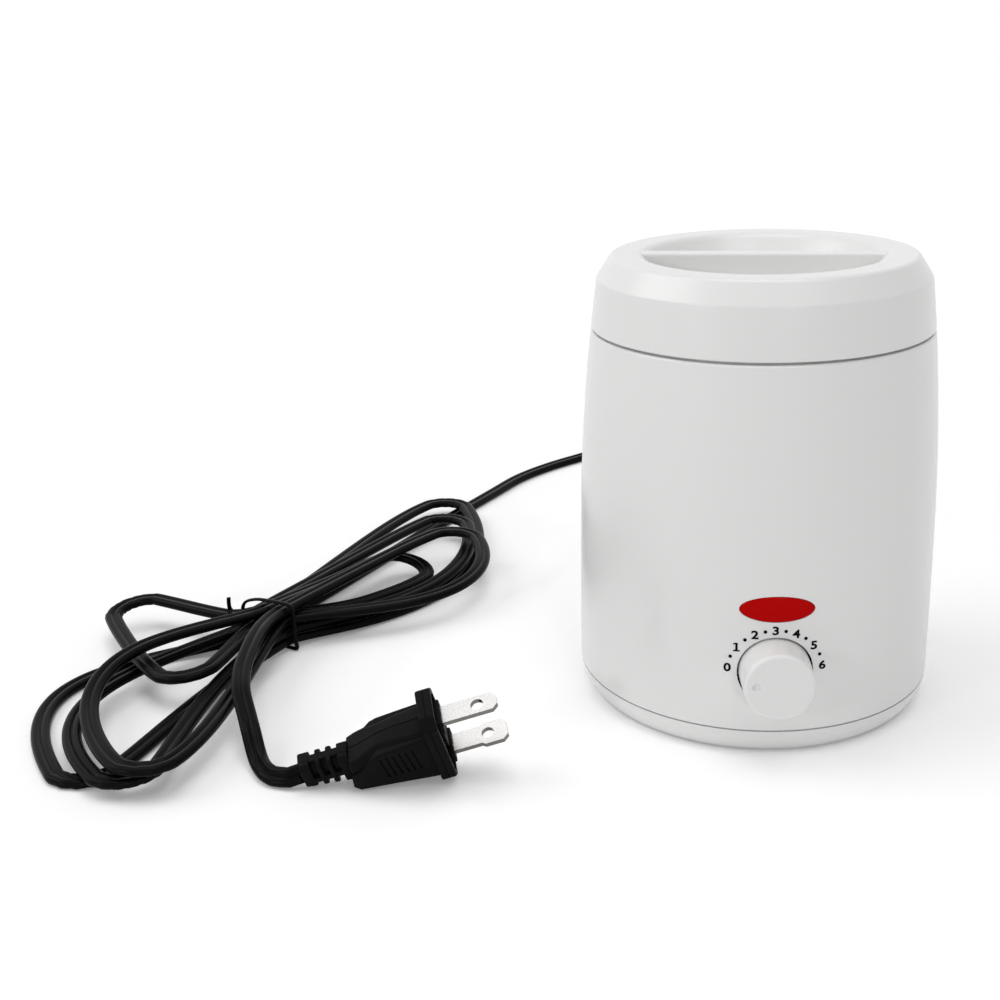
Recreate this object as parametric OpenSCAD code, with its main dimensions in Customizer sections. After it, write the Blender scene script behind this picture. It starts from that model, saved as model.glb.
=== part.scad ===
// A small wax warmer: a lidded drum with a heated well and a lift-out pot, a dial on the front,
// and a flat mains lead that is looped into a tied hank beside it.
// Millimetres, +Z up. The dial faces -Y. The origin is on the drum's axis, on the surface it stands on.

/* [Drum] */
// Radius of the drum at its widest
belly_r = 55.8; // [53:0.1:58]
// Height at which the drum is widest
belly_z = 15; // [12:1:20]
// Radius of the gentle side curve below the change
low_curve_r = 2500; // [1800:50:4000]
// Radius of the tighter side curve above the change
high_curve_r = 656; // [600:4:800]
// Height at which the side curve tightens
curve_change_z = 60; // [50:1:70]
// Height of the joint line between drum and lid
seam_z = 118.5; // [116:0.5:122]
// Gap that shows as the joint line
seam_gap = 0.8; // [0.6:0.1:1]
// Wall of the drum
wall = 2.4; // [2:0.1:2.8]

/* [Base] */
// Height of the line between drum and base
base_line_z = 8.4; // [8:0.1:9]
// Round of the base's lower edge
base_round = 12.2; // [11:0.1:13]
// Thickness of the base floor
base_floor = 2.2; // [2:0.1:2.6]
// Play between two moulded parts that plug together
mould_play = 0.3; // [0.2:0.05:0.4]
// How far the feet hold the base off the table
foot_proud = 0.8; // [0.6:0.1:1.2]
// Radius of a foot
foot_r = 6; // [5:0.5:7]
// How far the ring of feet lies inside the widest radius
foot_inset = 15.8; // [15:0.1:18]
// Number of air slots in each half of the floor
slot_count = 5; // [3:1:6]

/* [Lid] */
// Height of the lid above the joint line
lid_h = 22; // [20.5:0.5:24]
// Height of the sloping shoulder
shoulder_h = 6.6; // [5:0.1:7.5]
// Radius of the lid's top edge
top_edge_r = 45.3; // [44.5:0.1:46]
// Wall of the lid
lid_wall = 2.2; // [1.8:0.1:2.6]
// Radius of the finger recess's upper corner
recess_r = 36.2; // [35:0.1:38]
// Radius of the recess floor's corner
recess_floor_r = 28.6; // [26:0.1:30]
// Depth of the finger recess
recess_depth = 9; // [7:0.5:10]
// Width of the grip bar across the recess
bar_w = 5.2; // [5:0.2:9]
// Turn of the lid on the drum
lid_turn = -7.5; // [-180:0.5:180]

/* [Dial and lamp] */
// Height of the dial's centre
dial_z = 28; // [27:0.5:29]
// Radius of the dial's face
knob_r = 10.2; // [9.5:0.1:10.4]
// How far the dial stands out from the drum
knob_out = 10.3; // [9:0.1:11]
// Radius of the opening round the dial
dial_hole_r = 11; // [11:0.1:12]
// Radius of the thermostat shaft
shaft_r = 3; // [2.5:0.1:3.2]
// Height of the indicator's centre
lens_z = 47.7; // [47:0.1:49]
// Half width of the indicator
lens_half_w = 10.7; // [9:0.1:12]
// Half height of the indicator
lens_half_h = 3.9; // [3.5:0.1:4.4]
// Radius of the glow lamp's bulb
lamp_r = 2.5; // [2:0.1:2.8]

/* [Well and pot] */
// How far the pot's wall stands inside the drum at its rim
pot_inset = 13; // [12.6:0.1:14]
// Wall of the pot
pot_wall = 1; // [0.8:0.1:1.2]
// Width of the pot's rim
pot_rim_w = 4.3; // [4:0.1:4.6]
// Depth of the pot from its rim
pot_depth = 70; // [66:1:72]
// Wall of the heating well
well_wall = 1.5; // [1.2:0.1:1.8]
// Play between pot and well
pot_play = 0.7; // [0.5:0.1:0.8]
// Height of the ring that the pot hangs on, below the joint line
ring_drop = 2; // [1.8:0.1:2.4]
// How far the heater's edge lies inside the well's wall
heater_inset = 11.6; // [10:0.1:14]
// Thickness of the heater
heater_t = 5; // [4:0.5:5.5]

/* [Screws] */
// Shank radius of the case screws
screw_r = 1.4; // [1.3:0.1:1.5]
// Head radius of the case screws
head_r = 2.8; // [2.5:0.1:3]
// How far the ring of base screws lies inside the widest radius
base_screw_inset = 9.8; // [9.3:0.1:10.4]
// Length of a base screw's shank
base_screw_l = 10; // [8:0.5:11]
// Length of a well screw's shank
well_screw_l = 8; // [6:0.5:8]
// Length of the shanks that hold strap and bracket
small_screw_l = 5; // [4:0.5:6]

/* [Lead] */
// Width of the flat two-core lead
cord_w = 6; // [5.6:0.1:6.2]
// Thickness of the flat two-core lead
cord_t = 3; // [2.8:0.1:3.1]
// Height at which the lead leaves the drum
exit_z = 20; // [18:1:24]
// How far the strain relief reaches behind the drum
relief_out = 12; // [8:0.5:14]

/* [Plug] */
// Distance between the blades' centres
blade_pitch = 12.7; // [12.5:0.1:12.9]
// Length of a blade
blade_l = 17.5; // [16:0.5:18.2]
// Width of a blade
blade_w = 6.35; // [6.1:0.05:6.5]
// Width of the wide end of the neutral blade
neutral_w = 7.9; // [7.5:0.1:8.1]
// Thickness of a blade
blade_t = 1.5; // [1.4:0.1:1.65]
// Distance from the plug's face to the hole in a blade
blade_hole_at = 11.7; // [11.5:0.1:11.9]
// Radius of the hole in a blade
blade_hole_r = 1.9; // [1.6:0.1:2]
// Length of the plug from lead to face
plug_l = 43; // [41:1:45]

/* [Hidden] */
$fn = 96;
eps = 0.01;

// Heights that several pieces share
floor_z = foot_proud;
floor_top_z = floor_z + base_floor;
top_z = seam_z + lid_h;
shoulder_z = top_z - shoulder_h;
ring_top_z = seam_z - ring_drop;
ring_plate = 2;
flange_top_z = ring_top_z - 4.5;
flange_t = 1.5;
ledge_top_z = flange_top_z - flange_t;
ledge_t = 2.5;

// Radius of the drum's outside at height z: two tangent arcs
function low_r(z) = belly_r - pow(z - belly_z, 2)/(2*low_curve_r);
function drum_r(z) = z <= curve_change_z ? low_r(z) :
    low_r(curve_change_z) - (z - curve_change_z)*(curve_change_z - belly_z)/low_curve_r
    - pow(z - curve_change_z, 2)/(2*high_curve_r);
// Points of an arc round [x, z]
function arc(x, z, r, from, to, n = 8) = [for (i = [0:n]) let (a = from + (to - from)*i/n) [x + r*cos(a), z + r*sin(a)]];
// The drum's side between two heights, moved inwards by a wall
function side(z0, z1, inset = 0, n = 8) = [for (i = [0:n]) let (z = z0 + (z1 - z0)*i/n) [drum_r(z) - inset, z]];
function ellipse(a, b, n = 60) = [for (i = [0:n - 1]) [a*cos(360*i/n), b*sin(360*i/n)]];
function turned(v, a) = [v[0]*cos(a) - v[1]*sin(a), v[0]*sin(a) + v[1]*cos(a)];
// An outline whose corners [x, y, radius] are rounded, n steps to a corner
function rounded(p, n = 5) = [for (i = [0:len(p) - 1])
    each round_corner(p[(i + len(p) - 1)%len(p)], p[i], p[(i + 1)%len(p)], n)];
function round_corner(a, b, c, n) = len(b) < 3 ? [b] :
    let (
        corner = [b[0], b[1]],
        to_a = unit([a[0], a[1]] - corner),
        to_c = unit([c[0], c[1]] - corner),
        half = acos(to_a*to_c)/2,
        middle = corner + unit(to_a + to_c)*b[2]/sin(half),
        start = corner + to_a*b[2]/tan(half) - middle,
        turn = (180 - 2*half)*sign(cross(to_c, to_a))
    ) [for (i = [0:n]) middle + turned(start, turn*i/n)];

// Radii and heights of the pot, of the well that it hangs in and of the ring that covers the well's flange
pot_rim_t = 1;
pot_taper = 1.2;
pot_r = drum_r(ring_top_z) - pot_inset;
pot_rim_r = pot_r + pot_rim_w;
pot_bottom_z = ring_top_z + pot_rim_t - pot_depth;
ring_skirt_t = 1.5;
ring_skirt_r = drum_r(ring_top_z) - wall - mould_play;
ring_skirt_in_r = ring_skirt_r - ring_skirt_t;
well_r = pot_r + pot_play;
well_out_r = well_r + well_wall;
well_floor_z = pot_bottom_z - 0.4;
well_under_z = well_floor_z - well_wall;
well_flange_r = ring_skirt_in_r - 0.4;
well_screw_ring = (well_out_r + ring_skirt_in_r)/2;
well_boss_r = well_screw_ring - well_out_r - 0.4;
ledge_in_r = well_out_r + 0.6;
heater_r = well_r - heater_inset;
heater_under_z = well_under_z - heater_t;
strap_t = 1.2;
strap_w = 14;
strap_screw_x = heater_r + 5;

// Base: places of its feet, screws and slots
foot_ring = belly_r - foot_inset;
foot_angles = [45, 135, 225, 315];
base_screw_ring = belly_r - base_screw_inset;
base_screw_angles = [30, 150, 210, 330];
boss_r = 4;
base_boss_top_z = floor_top_z + 3;
head_h = 2;
screw_pilot_play = 0.05;
lip_t = 1.8;
lip_h = 4;
rib_z = base_line_z + lip_h + 0.5;
base_edge_x = drum_r(base_line_z) - base_round;
base_edge_z = base_line_z + 1.2;
rim_bottom_r = base_edge_x + sqrt(pow(base_round, 2) - pow(base_edge_z - floor_z, 2));

// Dial and thermostat, along -Y from the axis
face_y = -(drum_r(dial_z) + knob_out);
skin_y = -drum_r(dial_z);
knob_back_y = skin_y + wall + 3.2;
knob_wall = 1.8;
knob_base_r = knob_r + 0.3;
knob_hub_r = shaft_r + 1.8;
flat_cut = shaft_r*0.5;
shaft_front_y = face_y + knob_wall + 1;
bracket_y = knob_back_y + 4.2;
bracket_t = 1.2;
bush_r = shaft_r + 1.2;
bush_front_y = knob_back_y + 0.8;
nut_t = 2.2;
thermostat_back_y = bracket_y + bracket_t + 13;
shaft_back_y = bracket_y + bracket_t + 9;
running_play = 0.05;
bracket_foot_z = floor_top_z + 4;
bracket_half_w = 11;
bracket_foot_l = 20;

// Indicator
lens_t = wall + 1;
lens_play = 0.12;
lens_proud = 0.25;
lens_lip = 1.3;
lamp_y = -(drum_r(lens_z) - lens_t - 4.4);
holder_half_w = 9.6;
holder_half_h = 4.6;

// Strain relief
relief_hole_r = 5.6;
relief_tip_r = 4.4;
relief_tip_y = drum_r(exit_z) + relief_out;
relief_inner_y = drum_r(exit_z) - wall - 7;

// Lead on its way from the strain relief, behind the drum, to the hank
LEAD_ROUTE = [
    [0, relief_tip_y, exit_z], [0, relief_tip_y + 6, exit_z - 0.1], [0, 86, 17.4], [0, 99, 11.3], [0, 112, 5.4], [0, 127, 2.2],
    [0, 146, 1.6], [0, 168, 1.6], [1, 192, 1.6], [0, 214, 1.6], [-7, 235, 1.6], [-22, 248, 1.6], [-40, 244, 1.6],
    [-56, 231, 1.6], [-71, 217, 1.6], [-84, 201, 1.6]
];

// Hank: a frame [u, v, z] with u along the hank and v across it, its origin under the tie
hank_at = [-167, 24];
hank_heading = 62;
hank_u = [cos(hank_heading), sin(hank_heading)];
hank_v = [-sin(hank_heading), cos(hank_heading)];
function from_hank(p) = [hank_at[0] + p[0]*hank_u[0] + p[1]*hank_v[0], hank_at[1] + p[0]*hank_u[1] + p[1]*hank_v[1], p[2]];

// Where each of the nine passes goes through the tie: [across, height]
WAIST = [[7, 3.2], [-7, 3.2], [7, 7], [-7, 7], [7, 10.6], [0.3, 10.2], [0.3, 14], [-7, 10.9], [-6.8, 14.7]];
// Each loop: [reach, sideways shift of its tip, turn of its tip, straight run out and back,
//             roundness before and after the tip, heights on the way out, at the tip and on the way back]
LOOPS = [
    [102, -2, 28, 15, 80, 92, 34, 1.6, 1.6, 1.6],
    [142, 6, 44, 15, 15, 104, 52, 1.6, 5.2, 5.6],
    [102, -20, 20, 15, 66, 74, 42, 5.6, 5.2, 5.4],
    [127, 0, 42, 15, 15, 86, 14, 6, 8.8, 9.6],
    [30, 42, 32, 14, 30, 74, 100, 10.6, 9, 11.4],
    [90, -11, 42, 15, 15, 38, 12, 5, 4, 10.6],
    [93, -13, 30, 15, 14, 72, 70, 14, 9.8, 9.4],
    [104, -19, 38, 15, 15, 84, 14, 9.8, 12.6, 13.8]
];
loop_rings = 24;
HANK_START = [[166, 10, 1.6], [158, 10, 1.6], [120, 10, 1.6], [80, 9, 1.6], [40, 8, 1.8], [18, 7, 2.4]];
HANK_END = [[-8, -8.2, 15.2], [-18, -12, 15.8], [-30, -18, 15.6], [-42, -25, 14.8], [-52, -33, 13.6], [-60, -42, 10.4]];

function bezier(a, b, c, d, t) = a*pow(1 - t, 3) + 3*b*t*pow(1 - t, 2) + 3*c*t*t*(1 - t) + d*pow(t, 3);
function ease(t) = (1 - cos(180*t))/2;
function between(list, q) = let (i = min(floor(q), len(list) - 2), f = ease(q - i)) list[i]*(1 - f) + list[i + 1]*f;
// Point i of loop k: two curves that meet at the tip, out and back
function loop_point(k, i) =
    let (
        s = LOOPS[k],
        way = k%2 == 0 ? -1 : 1,
        start = [0, WAIST[k][0]],
        end = [0, WAIST[k + 1][0]],
        tip = [way*s[0], s[1]],
        dir = way*[sin(s[2]), cos(s[2])],
        half = loop_rings/2,
        plan = i <= half ?
            bezier(start, start + [way*s[3], 0], tip - dir*s[5], tip, i/half) :
            bezier(tip, tip + dir*s[6], end + [way*s[4], 0], end, (i - half)/half),
        z = between([WAIST[k][1], s[7], s[8], s[9], WAIST[k + 1][1]], 4*i/loop_rings)
    ) [plan[0], plan[1], z];

// A smooth curve through points, m steps between two of them
function smooth_at(p, i, t) =
    let (
        a = i == 0 ? 2*p[0] - p[1] : p[i - 1],
        b = p[i],
        c = p[i + 1],
        d = i + 2 < len(p) ? p[i + 2] : 2*p[len(p) - 1] - p[len(p) - 2]
    ) 0.5*(2*b + (c - a)*t + (2*a - 5*b + 4*c - d)*t*t + (3*b - a - 3*c + d)*t*t*t);
function smooth(p, m) = concat([for (i = [0:len(p) - 2], j = [0:m - 1]) smooth_at(p, i, j/m)], [p[len(p) - 1]]);
function but_last(p) = [for (i = [0:len(p) - 2]) p[i]];

HANK_PATH = [for (p = concat(
    but_last(smooth(concat(HANK_START, [[0, WAIST[0][0], WAIST[0][1]]]), 2)),
    [for (k = [0:len(LOOPS) - 1], i = [0:loop_rings - 1]) loop_point(k, i)],
    smooth(concat([[0, WAIST[8][0], WAIST[8][1]]], HANK_END), 2)
)) from_hank(p)];
hank_in = HANK_PATH[0];
hank_in_dir = unit(HANK_PATH[1] - HANK_PATH[0]);
hank_out = HANK_PATH[len(HANK_PATH) - 1];
hank_out_dir = unit(hank_out - HANK_PATH[len(HANK_PATH) - 2]);

function unit(v) = v/norm(v);
function length_of(p, i = 0) = i >= len(p) - 1 ? 0 : norm(p[i + 1] - p[i]) + length_of(p, i + 1);
function with_midpoints(p) = concat([for (i = [0:len(p) - 2]) each [p[i], (p[i] + p[i + 1])/2]], [p[len(p) - 1]]);
// Clear space between two stretches of flat lead whose centres are p and q
function flat_gap(p, q) = norm([max(0, norm([p[0] - q[0], p[1] - q[1]]) - cord_w), max(0, abs(p[2] - q[2]) - cord_t)]);

// Plug: its blade face, lying on the table on the flange's corner
plug_face = [-96, -67, 15.4];
plug_heading = 6.4;
plug_tilt = 14.5;
plug_roll = 19.5;
flange_half_w = 8.4;
flange_half_h = 13.5;
plug_flange_t = 4.6;
relief_l = 15;
blade_root = 7;
plug_entry = plug_face - plug_l*[cos(plug_tilt)*cos(plug_heading), cos(plug_tilt)*sin(plug_heading), sin(plug_tilt)];
plug_dir = unit(plug_face - plug_entry);
// Lead between the hank and the plug, turning from flat on the table to on edge
TAIL_ROUTE = [
    hank_out, hank_out + 6*hank_out_dir, [-152.5, -62, 3.6], [-148.5, -69, 3.2], plug_entry - 7*plug_dir, plug_entry
];
tail_turn = 90 - plug_roll;

// Outline of the flat lead, n sides
function cord_outline(n) = n == 6 ?
    [for (p = [[1, 0], [0.62, 1], [-0.62, 1], [-1, 0], [-0.62, -1], [0.62, -1]]) [p[0]*cord_w/2, p[1]*cord_t/2]] :
    [for (p = [[1, 0.45], [0.7, 1], [-0.7, 1], [-1, 0.45], [-1, -0.45], [-0.7, -1], [0.7, -1], [1, -0.45]])
        [p[0]*cord_w/2, p[1]*cord_t/2]];

// Sweeps a flat outline along points, kept level and turned about the path by a steady twist
module flat_sweep(path, outline, twist = 0) {
    rings = len(path);
    sides = len(outline);
    points = [for (i = [0:rings - 1])
        let (
            t = unit(path[min(i + 1, rings - 1)] - path[max(i - 1, 0)]),
            level = unit(cross([0, 0, 1], t)),
            up = cross(t, level),
            a = twist*ease(i/(rings - 1)),
            across = level*cos(a) + up*sin(a),
            along_up = up*cos(a) - level*sin(a)
        )
        for (p = outline) path[i] + p[0]*across + p[1]*along_up
    ];
    sides_faces = [for (i = [0:rings - 2], j = [0:sides - 1], half = [0, 1])
        let (
            a = i*sides + j,
            b = i*sides + (j + 1)%sides
        )
        half == 0 ? [a, a + sides, b] : [b, a + sides, b + sides]
    ];
    first = [for (j = [1:sides - 2]) [0, j, j + 1]];
    last = [for (j = [1:sides - 2]) let (o = (rings - 1)*sides) [o, o + j + 1, o + j]];
    polyhedron(points, concat(sides_faces, first, last), convexity = 10);
}

// Turns a shape drawn along +Z so that it points along -Y or +Y
module to_front() rotate([90, 0, 0]) children();
module to_back() rotate([-90, 0, 0]) children();

// A case screw with its head at z = 0, pointing up
module screw(r, len, head, head_len) {
    difference() {
        union() {
            cylinder(r = head, h = head_len);
            translate([0, 0, head_len - eps]) cylinder(r = r, h = len + eps);
        }
        for (a = [0, 90]) rotate(a) translate([-head*0.6, -0.4, -eps]) cube([head*1.2, 0.8, head_len*0.45]);
    }
}

module lid() {
    color("white") rotate(lid_turn) difference() {
        union() {
            rotate_extrude() lid_section();
            translate([0, 0, top_z - recess_depth - lid_wall]) lid_bar(recess_depth + lid_wall);
        }
        translate([0, 0, top_z - recess_depth - lid_wall - eps]) bar_hollow();
    }
}

// Outline of the lid's wall, shoulder, recess and spigot
module lid_section() {
    z0 = seam_z + seam_gap/2;
    spigot_r = drum_r(ring_top_z) - wall - mould_play - 0.1;
    floor_z = top_z - recess_depth;
    under_z = floor_z - lid_wall;
    rim_under_z = top_z - lid_wall - 0.9;
    polygon(rounded(concat(
        [[spigot_r - 1.8, ring_top_z], [spigot_r, ring_top_z, 0.3], [spigot_r, z0], [drum_r(z0), z0, 0.4]],
        side(z0 + 1, shoulder_z - 2, 0, 5),
        [[drum_r(shoulder_z), shoulder_z, 1.6], [top_edge_r + 0.3, top_z, 1.8], [recess_r, top_z, 4],
            [recess_floor_r, floor_z, 5], [0, floor_z]],
        [[0, under_z], [recess_floor_r - 0.6, under_z, 2], [recess_r - 0.5, rim_under_z, 2], [top_edge_r - 2, rim_under_z, 1],
            [drum_r(shoulder_z) - lid_wall, shoulder_z - 1.2, 1], [drum_r(z0 + 4) - lid_wall, z0 + 4], [spigot_r - 1.8, z0 + 2.4]]
    )));
}

// The grip bar: a straight wall across the recess with rounded upper edges
module lid_bar(h) {
    w = bar_w/2;
    intersection() {
        translate([-recess_r - 2, 0, 0]) rotate([90, 0, 90]) linear_extrude(2*recess_r + 4)
            polygon(rounded([[-w, 0], [w, 0], [w, h, 1], [-w, h, 1]]));
        cylinder(r = recess_r, h = h);
    }
}

// The bar is open below, as a moulding is
module bar_hollow() {
    inner = bar_w/3;
    translate([-recess_floor_r, -inner/2, 0]) cube([2*recess_floor_r, inner, recess_depth]);
}

module body_shell() {
    color("white") difference() {
        union() {
            rotate_extrude() shell_section();
            intersection() {
                shell_bosses();
                rotate_extrude() polygon(concat([[0, base_boss_top_z]], side(base_boss_top_z, seam_z - 10, wall/2), [[0, seam_z - 10]]));
            }
        }
        // openings for the dial, the indicator and the lead
        translate([0, 0, dial_z]) to_front() cylinder(r = dial_hole_r, h = belly_r + 20);
        translate([0, 0, lens_z]) to_front() linear_extrude(belly_r + 20)
            polygon(ellipse(lens_half_w + lens_play, lens_half_h + lens_play));
        translate([0, 0, exit_z]) to_back() cylinder(r = relief_hole_r, h = belly_r + 20);
        // pilot holes
        for (a = base_screw_angles) rotate(a) translate([base_screw_ring, 0, base_boss_top_z - eps])
            cylinder(r = screw_r + screw_pilot_play, h = 11, $fn = 24);
        for (a = well_screw_angles) rotate(a) translate([well_screw_ring, 0, ledge_top_z - 9])
            cylinder(r = screw_r + screw_pilot_play, h = 10, $fn = 24);
    }
}

well_screw_angles = [90, 210, 330];

// Outline of the drum's wall with the ledge that carries the well
module shell_section() {
    top = seam_z - seam_gap/2;
    z0 = base_line_z + 0.3;
    polygon(concat(
        [[drum_r(z0) - wall, z0], [drum_r(z0) - 0.3, z0]],
        side(z0 + 0.3, top - 0.5, 0, 12),
        [[drum_r(top) - 0.5, top], [drum_r(top) - wall, top]],
        [[drum_r(ledge_top_z) - wall, ledge_top_z], [ledge_in_r, ledge_top_z], [ledge_in_r, ledge_top_z - ledge_t],
            [drum_r(ledge_top_z) - wall, ledge_top_z - ledge_t - 2]],
        side(ledge_top_z - ledge_t - 3, z0 + 1, wall, 8)
    ));
}

// Screw bosses of the drum: four for the base, three for the well
module shell_bosses() {
    for (a = base_screw_angles) rotate(a) {
        translate([base_screw_ring, 0, base_boss_top_z]) cylinder(r = boss_r, h = 14, $fn = 32);
        translate([base_screw_ring, -1, rib_z]) cube([belly_r - base_screw_ring, 2, base_boss_top_z + 14 - rib_z]);
    }
    for (a = well_screw_angles) rotate(a) {
        translate([well_screw_ring, 0, ledge_top_z - 9]) cylinder(r = well_boss_r, h = 8.5, $fn = 32);
        translate([well_screw_ring, -1, ledge_top_z - 9]) cube([belly_r - well_screw_ring, 2, 8.5]);
    }
}

module base() {
    color("white") difference() {
        union() {
            rotate_extrude() base_section();
            for (a = base_screw_angles) rotate(a) translate([base_screw_ring, 0, floor_z]) cylinder(r = boss_r, h = base_boss_top_z - floor_z, $fn = 32);
            // seats of the terminal block and of the thermostat's bracket
            translate([-terminal_l/2, terminal_y - terminal_w/2, floor_z]) cube([terminal_l, terminal_w, terminal_z - floor_z]);
            for (x = bracket_screw_x) translate([x, bracket_screw_y, floor_z]) cylinder(r = boss_r - 0.5, h = bracket_foot_z - floor_z, $fn = 32);
        }
        for (a = foot_angles) rotate(a) translate([foot_ring, 0, 0]) cylinder(r = foot_r + 0.05, h = floor_z + 1.2, $fn = 48);
        for (a = base_screw_angles) rotate(a) translate([base_screw_ring, 0, 0]) {
            cylinder(r = head_r + 0.3, h = base_boss_top_z - 2, $fn = 32);
            cylinder(r = screw_r + 0.15, h = base_boss_top_z + 1, $fn = 24);
        }
        for (x = bracket_screw_x) translate([x, bracket_screw_y, floor_top_z]) cylinder(r = screw_r + screw_pilot_play, h = bracket_foot_z, $fn = 24);
        for (s = [-1, 1], i = [0:slot_count - 1]) translate([s*24, (i - (slot_count - 1)/2)*6, floor_z - 1])
            linear_extrude(base_floor + 2) slot(14, 2.4);
    }
}

// A straight slot with round ends
module slot(l, w) {
    square([l - w, w], center = true);
    for (s = [-1, 1]) translate([s*(l - w)/2, 0]) circle(r = w/2, $fn = 24);
}

// Outline of the base: floor, rounded edge and the lip that plugs into the drum
module base_section() {
    a0 = -acos((rim_bottom_r - base_edge_x)/base_round);
    a1 = -asin((base_edge_z - base_line_z)/base_round);
    lip_r = drum_r(base_line_z) - wall - mould_play;
    polygon(concat(
        [[0, floor_z]],
        arc(base_edge_x, base_edge_z, base_round, a0, a1, 10),
        [[lip_r, base_line_z], [lip_r, base_line_z + lip_h], [lip_r - lip_t, base_line_z + lip_h], [lip_r - lip_t, base_line_z - 1],
            [rim_bottom_r - 3, floor_top_z], [0, floor_top_z]]
    ));
}

module feet() {
    color("dimgray") for (a = foot_angles) rotate(a) translate([foot_ring, 0, 0]) rotate_extrude($fn = 48)
        polygon([[0, 0], [foot_r - 1, 0], [foot_r - 0.4, 0.3], [foot_r, floor_z], [foot_r, floor_z + 1.2], [0, floor_z + 1.2]]);
}

module base_screws() {
    color("silver") for (a = base_screw_angles) rotate(a) translate([base_screw_ring, 0, base_boss_top_z - 2 - head_h])
        screw(screw_r, base_screw_l, head_r, head_h, $fn = 24);
}

// The ring stands on its outer skirt; its inner lip ends above the well's screw heads
module top_ring() {
    in_r = pot_r + pot_rim_w/2;
    lip_z = flange_top_z + 1.9;
    color("whitesmoke") rotate_extrude() polygon(rounded([
        [in_r, lip_z], [in_r + 1.2, lip_z], [in_r + 1.2, ring_top_z - ring_plate],
        [ring_skirt_in_r, ring_top_z - ring_plate], [ring_skirt_in_r, ledge_top_z + 0.1], [ring_skirt_r, ledge_top_z + 0.1],
        [ring_skirt_r, ring_top_z, 0.4], [in_r, ring_top_z, 0.4]
    ]));
}

module wax_pot() {
    bottom_r = pot_r - pot_taper;
    z0 = pot_bottom_z;
    rim_z = ring_top_z + pot_rim_t;
    color("silver") rotate_extrude() polygon(concat(
        [[0, z0]],
        arc(bottom_r - 5, z0 + 5, 5, -90, 0, 6),
        [[pot_r, ring_top_z - 1], [pot_r + 0.6, ring_top_z]],
        [[pot_rim_r - 0.4, ring_top_z], [pot_rim_r, ring_top_z + 0.3], [pot_rim_r - 0.2, rim_z], [pot_r, rim_z]],
        [[pot_r - pot_wall, rim_z - 1]],
        arc(bottom_r - 5, z0 + 5, 5 - pot_wall, 0, -90, 6),
        [[0, z0 + pot_wall]]
    ));
}

module heating_well() {
    color("silver") difference() {
        union() {
            rotate_extrude() polygon(concat(
                [[0, well_under_z]],
                arc(well_out_r - 6, well_under_z + 6, 6, -90, 0, 6),
                [[well_out_r, ledge_top_z], [well_flange_r, ledge_top_z], [well_flange_r, flange_top_z], [well_r, flange_top_z]],
                arc(well_r - 5, well_floor_z + 5, 5, 0, -90, 6),
                [[0, well_floor_z]]
            ));
            for (s = [-1, 1]) translate([s*strap_screw_x, 0, heater_under_z]) cylinder(r = 3.2, h = heater_t + 1, $fn = 32);
        }
        for (s = [-1, 1]) translate([s*strap_screw_x, 0, heater_under_z - eps]) cylinder(r = screw_r + screw_pilot_play, h = heater_t, $fn = 24);
        for (a = well_screw_angles) rotate(a) translate([well_screw_ring, 0, ledge_top_z - 1]) cylinder(r = screw_r + 0.15, h = flange_t + 2, $fn = 24);
    }
}

module well_screws() {
    color("silver") for (a = well_screw_angles) rotate(a) translate([well_screw_ring, 0, flange_top_z + 1.6])
        mirror([0, 0, 1]) screw(screw_r, well_screw_l, head_r - 0.4, 1.6, $fn = 24);
}

heater_terminal_x = 8;
module heater() {
    color("gray") translate([0, 0, heater_under_z]) difference() {
        cylinder(r = heater_r, h = heater_t);
        translate([0, 0, -eps]) cylinder(r = heater_r - 10, h = 1.6);
        for (s = [-1, 1]) translate([s*heater_terminal_x, -heater_r - 2, heater_t/2]) rotate([-90, 0, 0]) cylinder(r = 1.2, h = 8, $fn = 24);
    }
}

module heater_strap() {
    length = 2*strap_screw_x + 10;
    color("lightgray") translate([0, 0, heater_under_z - strap_t]) difference() {
        translate([0, 0, strap_t/2]) cube([length, strap_w, strap_t], center = true);
        for (s = [-1, 1]) translate([s*strap_screw_x, 0, -1]) cylinder(r = screw_r + 0.15, h = strap_t + 2, $fn = 24);
    }
}

module strap_screws() {
    color("silver") for (s = [-1, 1]) translate([s*strap_screw_x, 0, heater_under_z - strap_t - 1.6])
        screw(screw_r, small_screw_l, head_r - 0.3, 1.6, $fn = 24);
}

fuse_y = strap_w/2 + 3.2;
module thermal_fuse() {
    color("goldenrod") translate([0, fuse_y, heater_under_z + 1.6 - 2.1]) rotate([0, 90, 0]) {
        translate([0, 0, -6]) cylinder(r = 2, h = 12, $fn = 32);
        translate([0, 0, -13]) cylinder(r = 0.5, h = 26, $fn = 16);
    }
}

module knob() {
    z_face = -face_y;
    z_back = -knob_back_y;
    color("white") translate([0, 0, dial_z]) to_front() difference() {
        union() {
            rotate_extrude() polygon(rounded([
                [shaft_r + running_play, z_back], [knob_hub_r, z_back], [knob_hub_r, z_face - knob_wall - 2],
                [knob_r - knob_wall, z_face - knob_wall - 2], [knob_base_r - knob_wall, z_back], [knob_base_r, z_back],
                [knob_r, z_face, 1.1], [0, z_face], [0, z_face - knob_wall - 1 + 0.3],
                [shaft_r + running_play, z_face - knob_wall - 1 + 0.3]
            ]));
            // the hub's flat
            intersection() {
                translate([-shaft_r - 1, shaft_r - flat_cut + running_play, z_back]) cube([2*shaft_r + 2, flat_cut + 1, z_face - z_back - knob_wall]);
                translate([0, 0, z_back]) cylinder(r = knob_hub_r - 0.5, h = z_face - z_back - knob_wall);
            }
        }
        // pointer dimple
        translate([-6.7, 0.4, z_face + 0.5]) sphere(r = 1.4, $fn = 32);
    }
}

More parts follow.
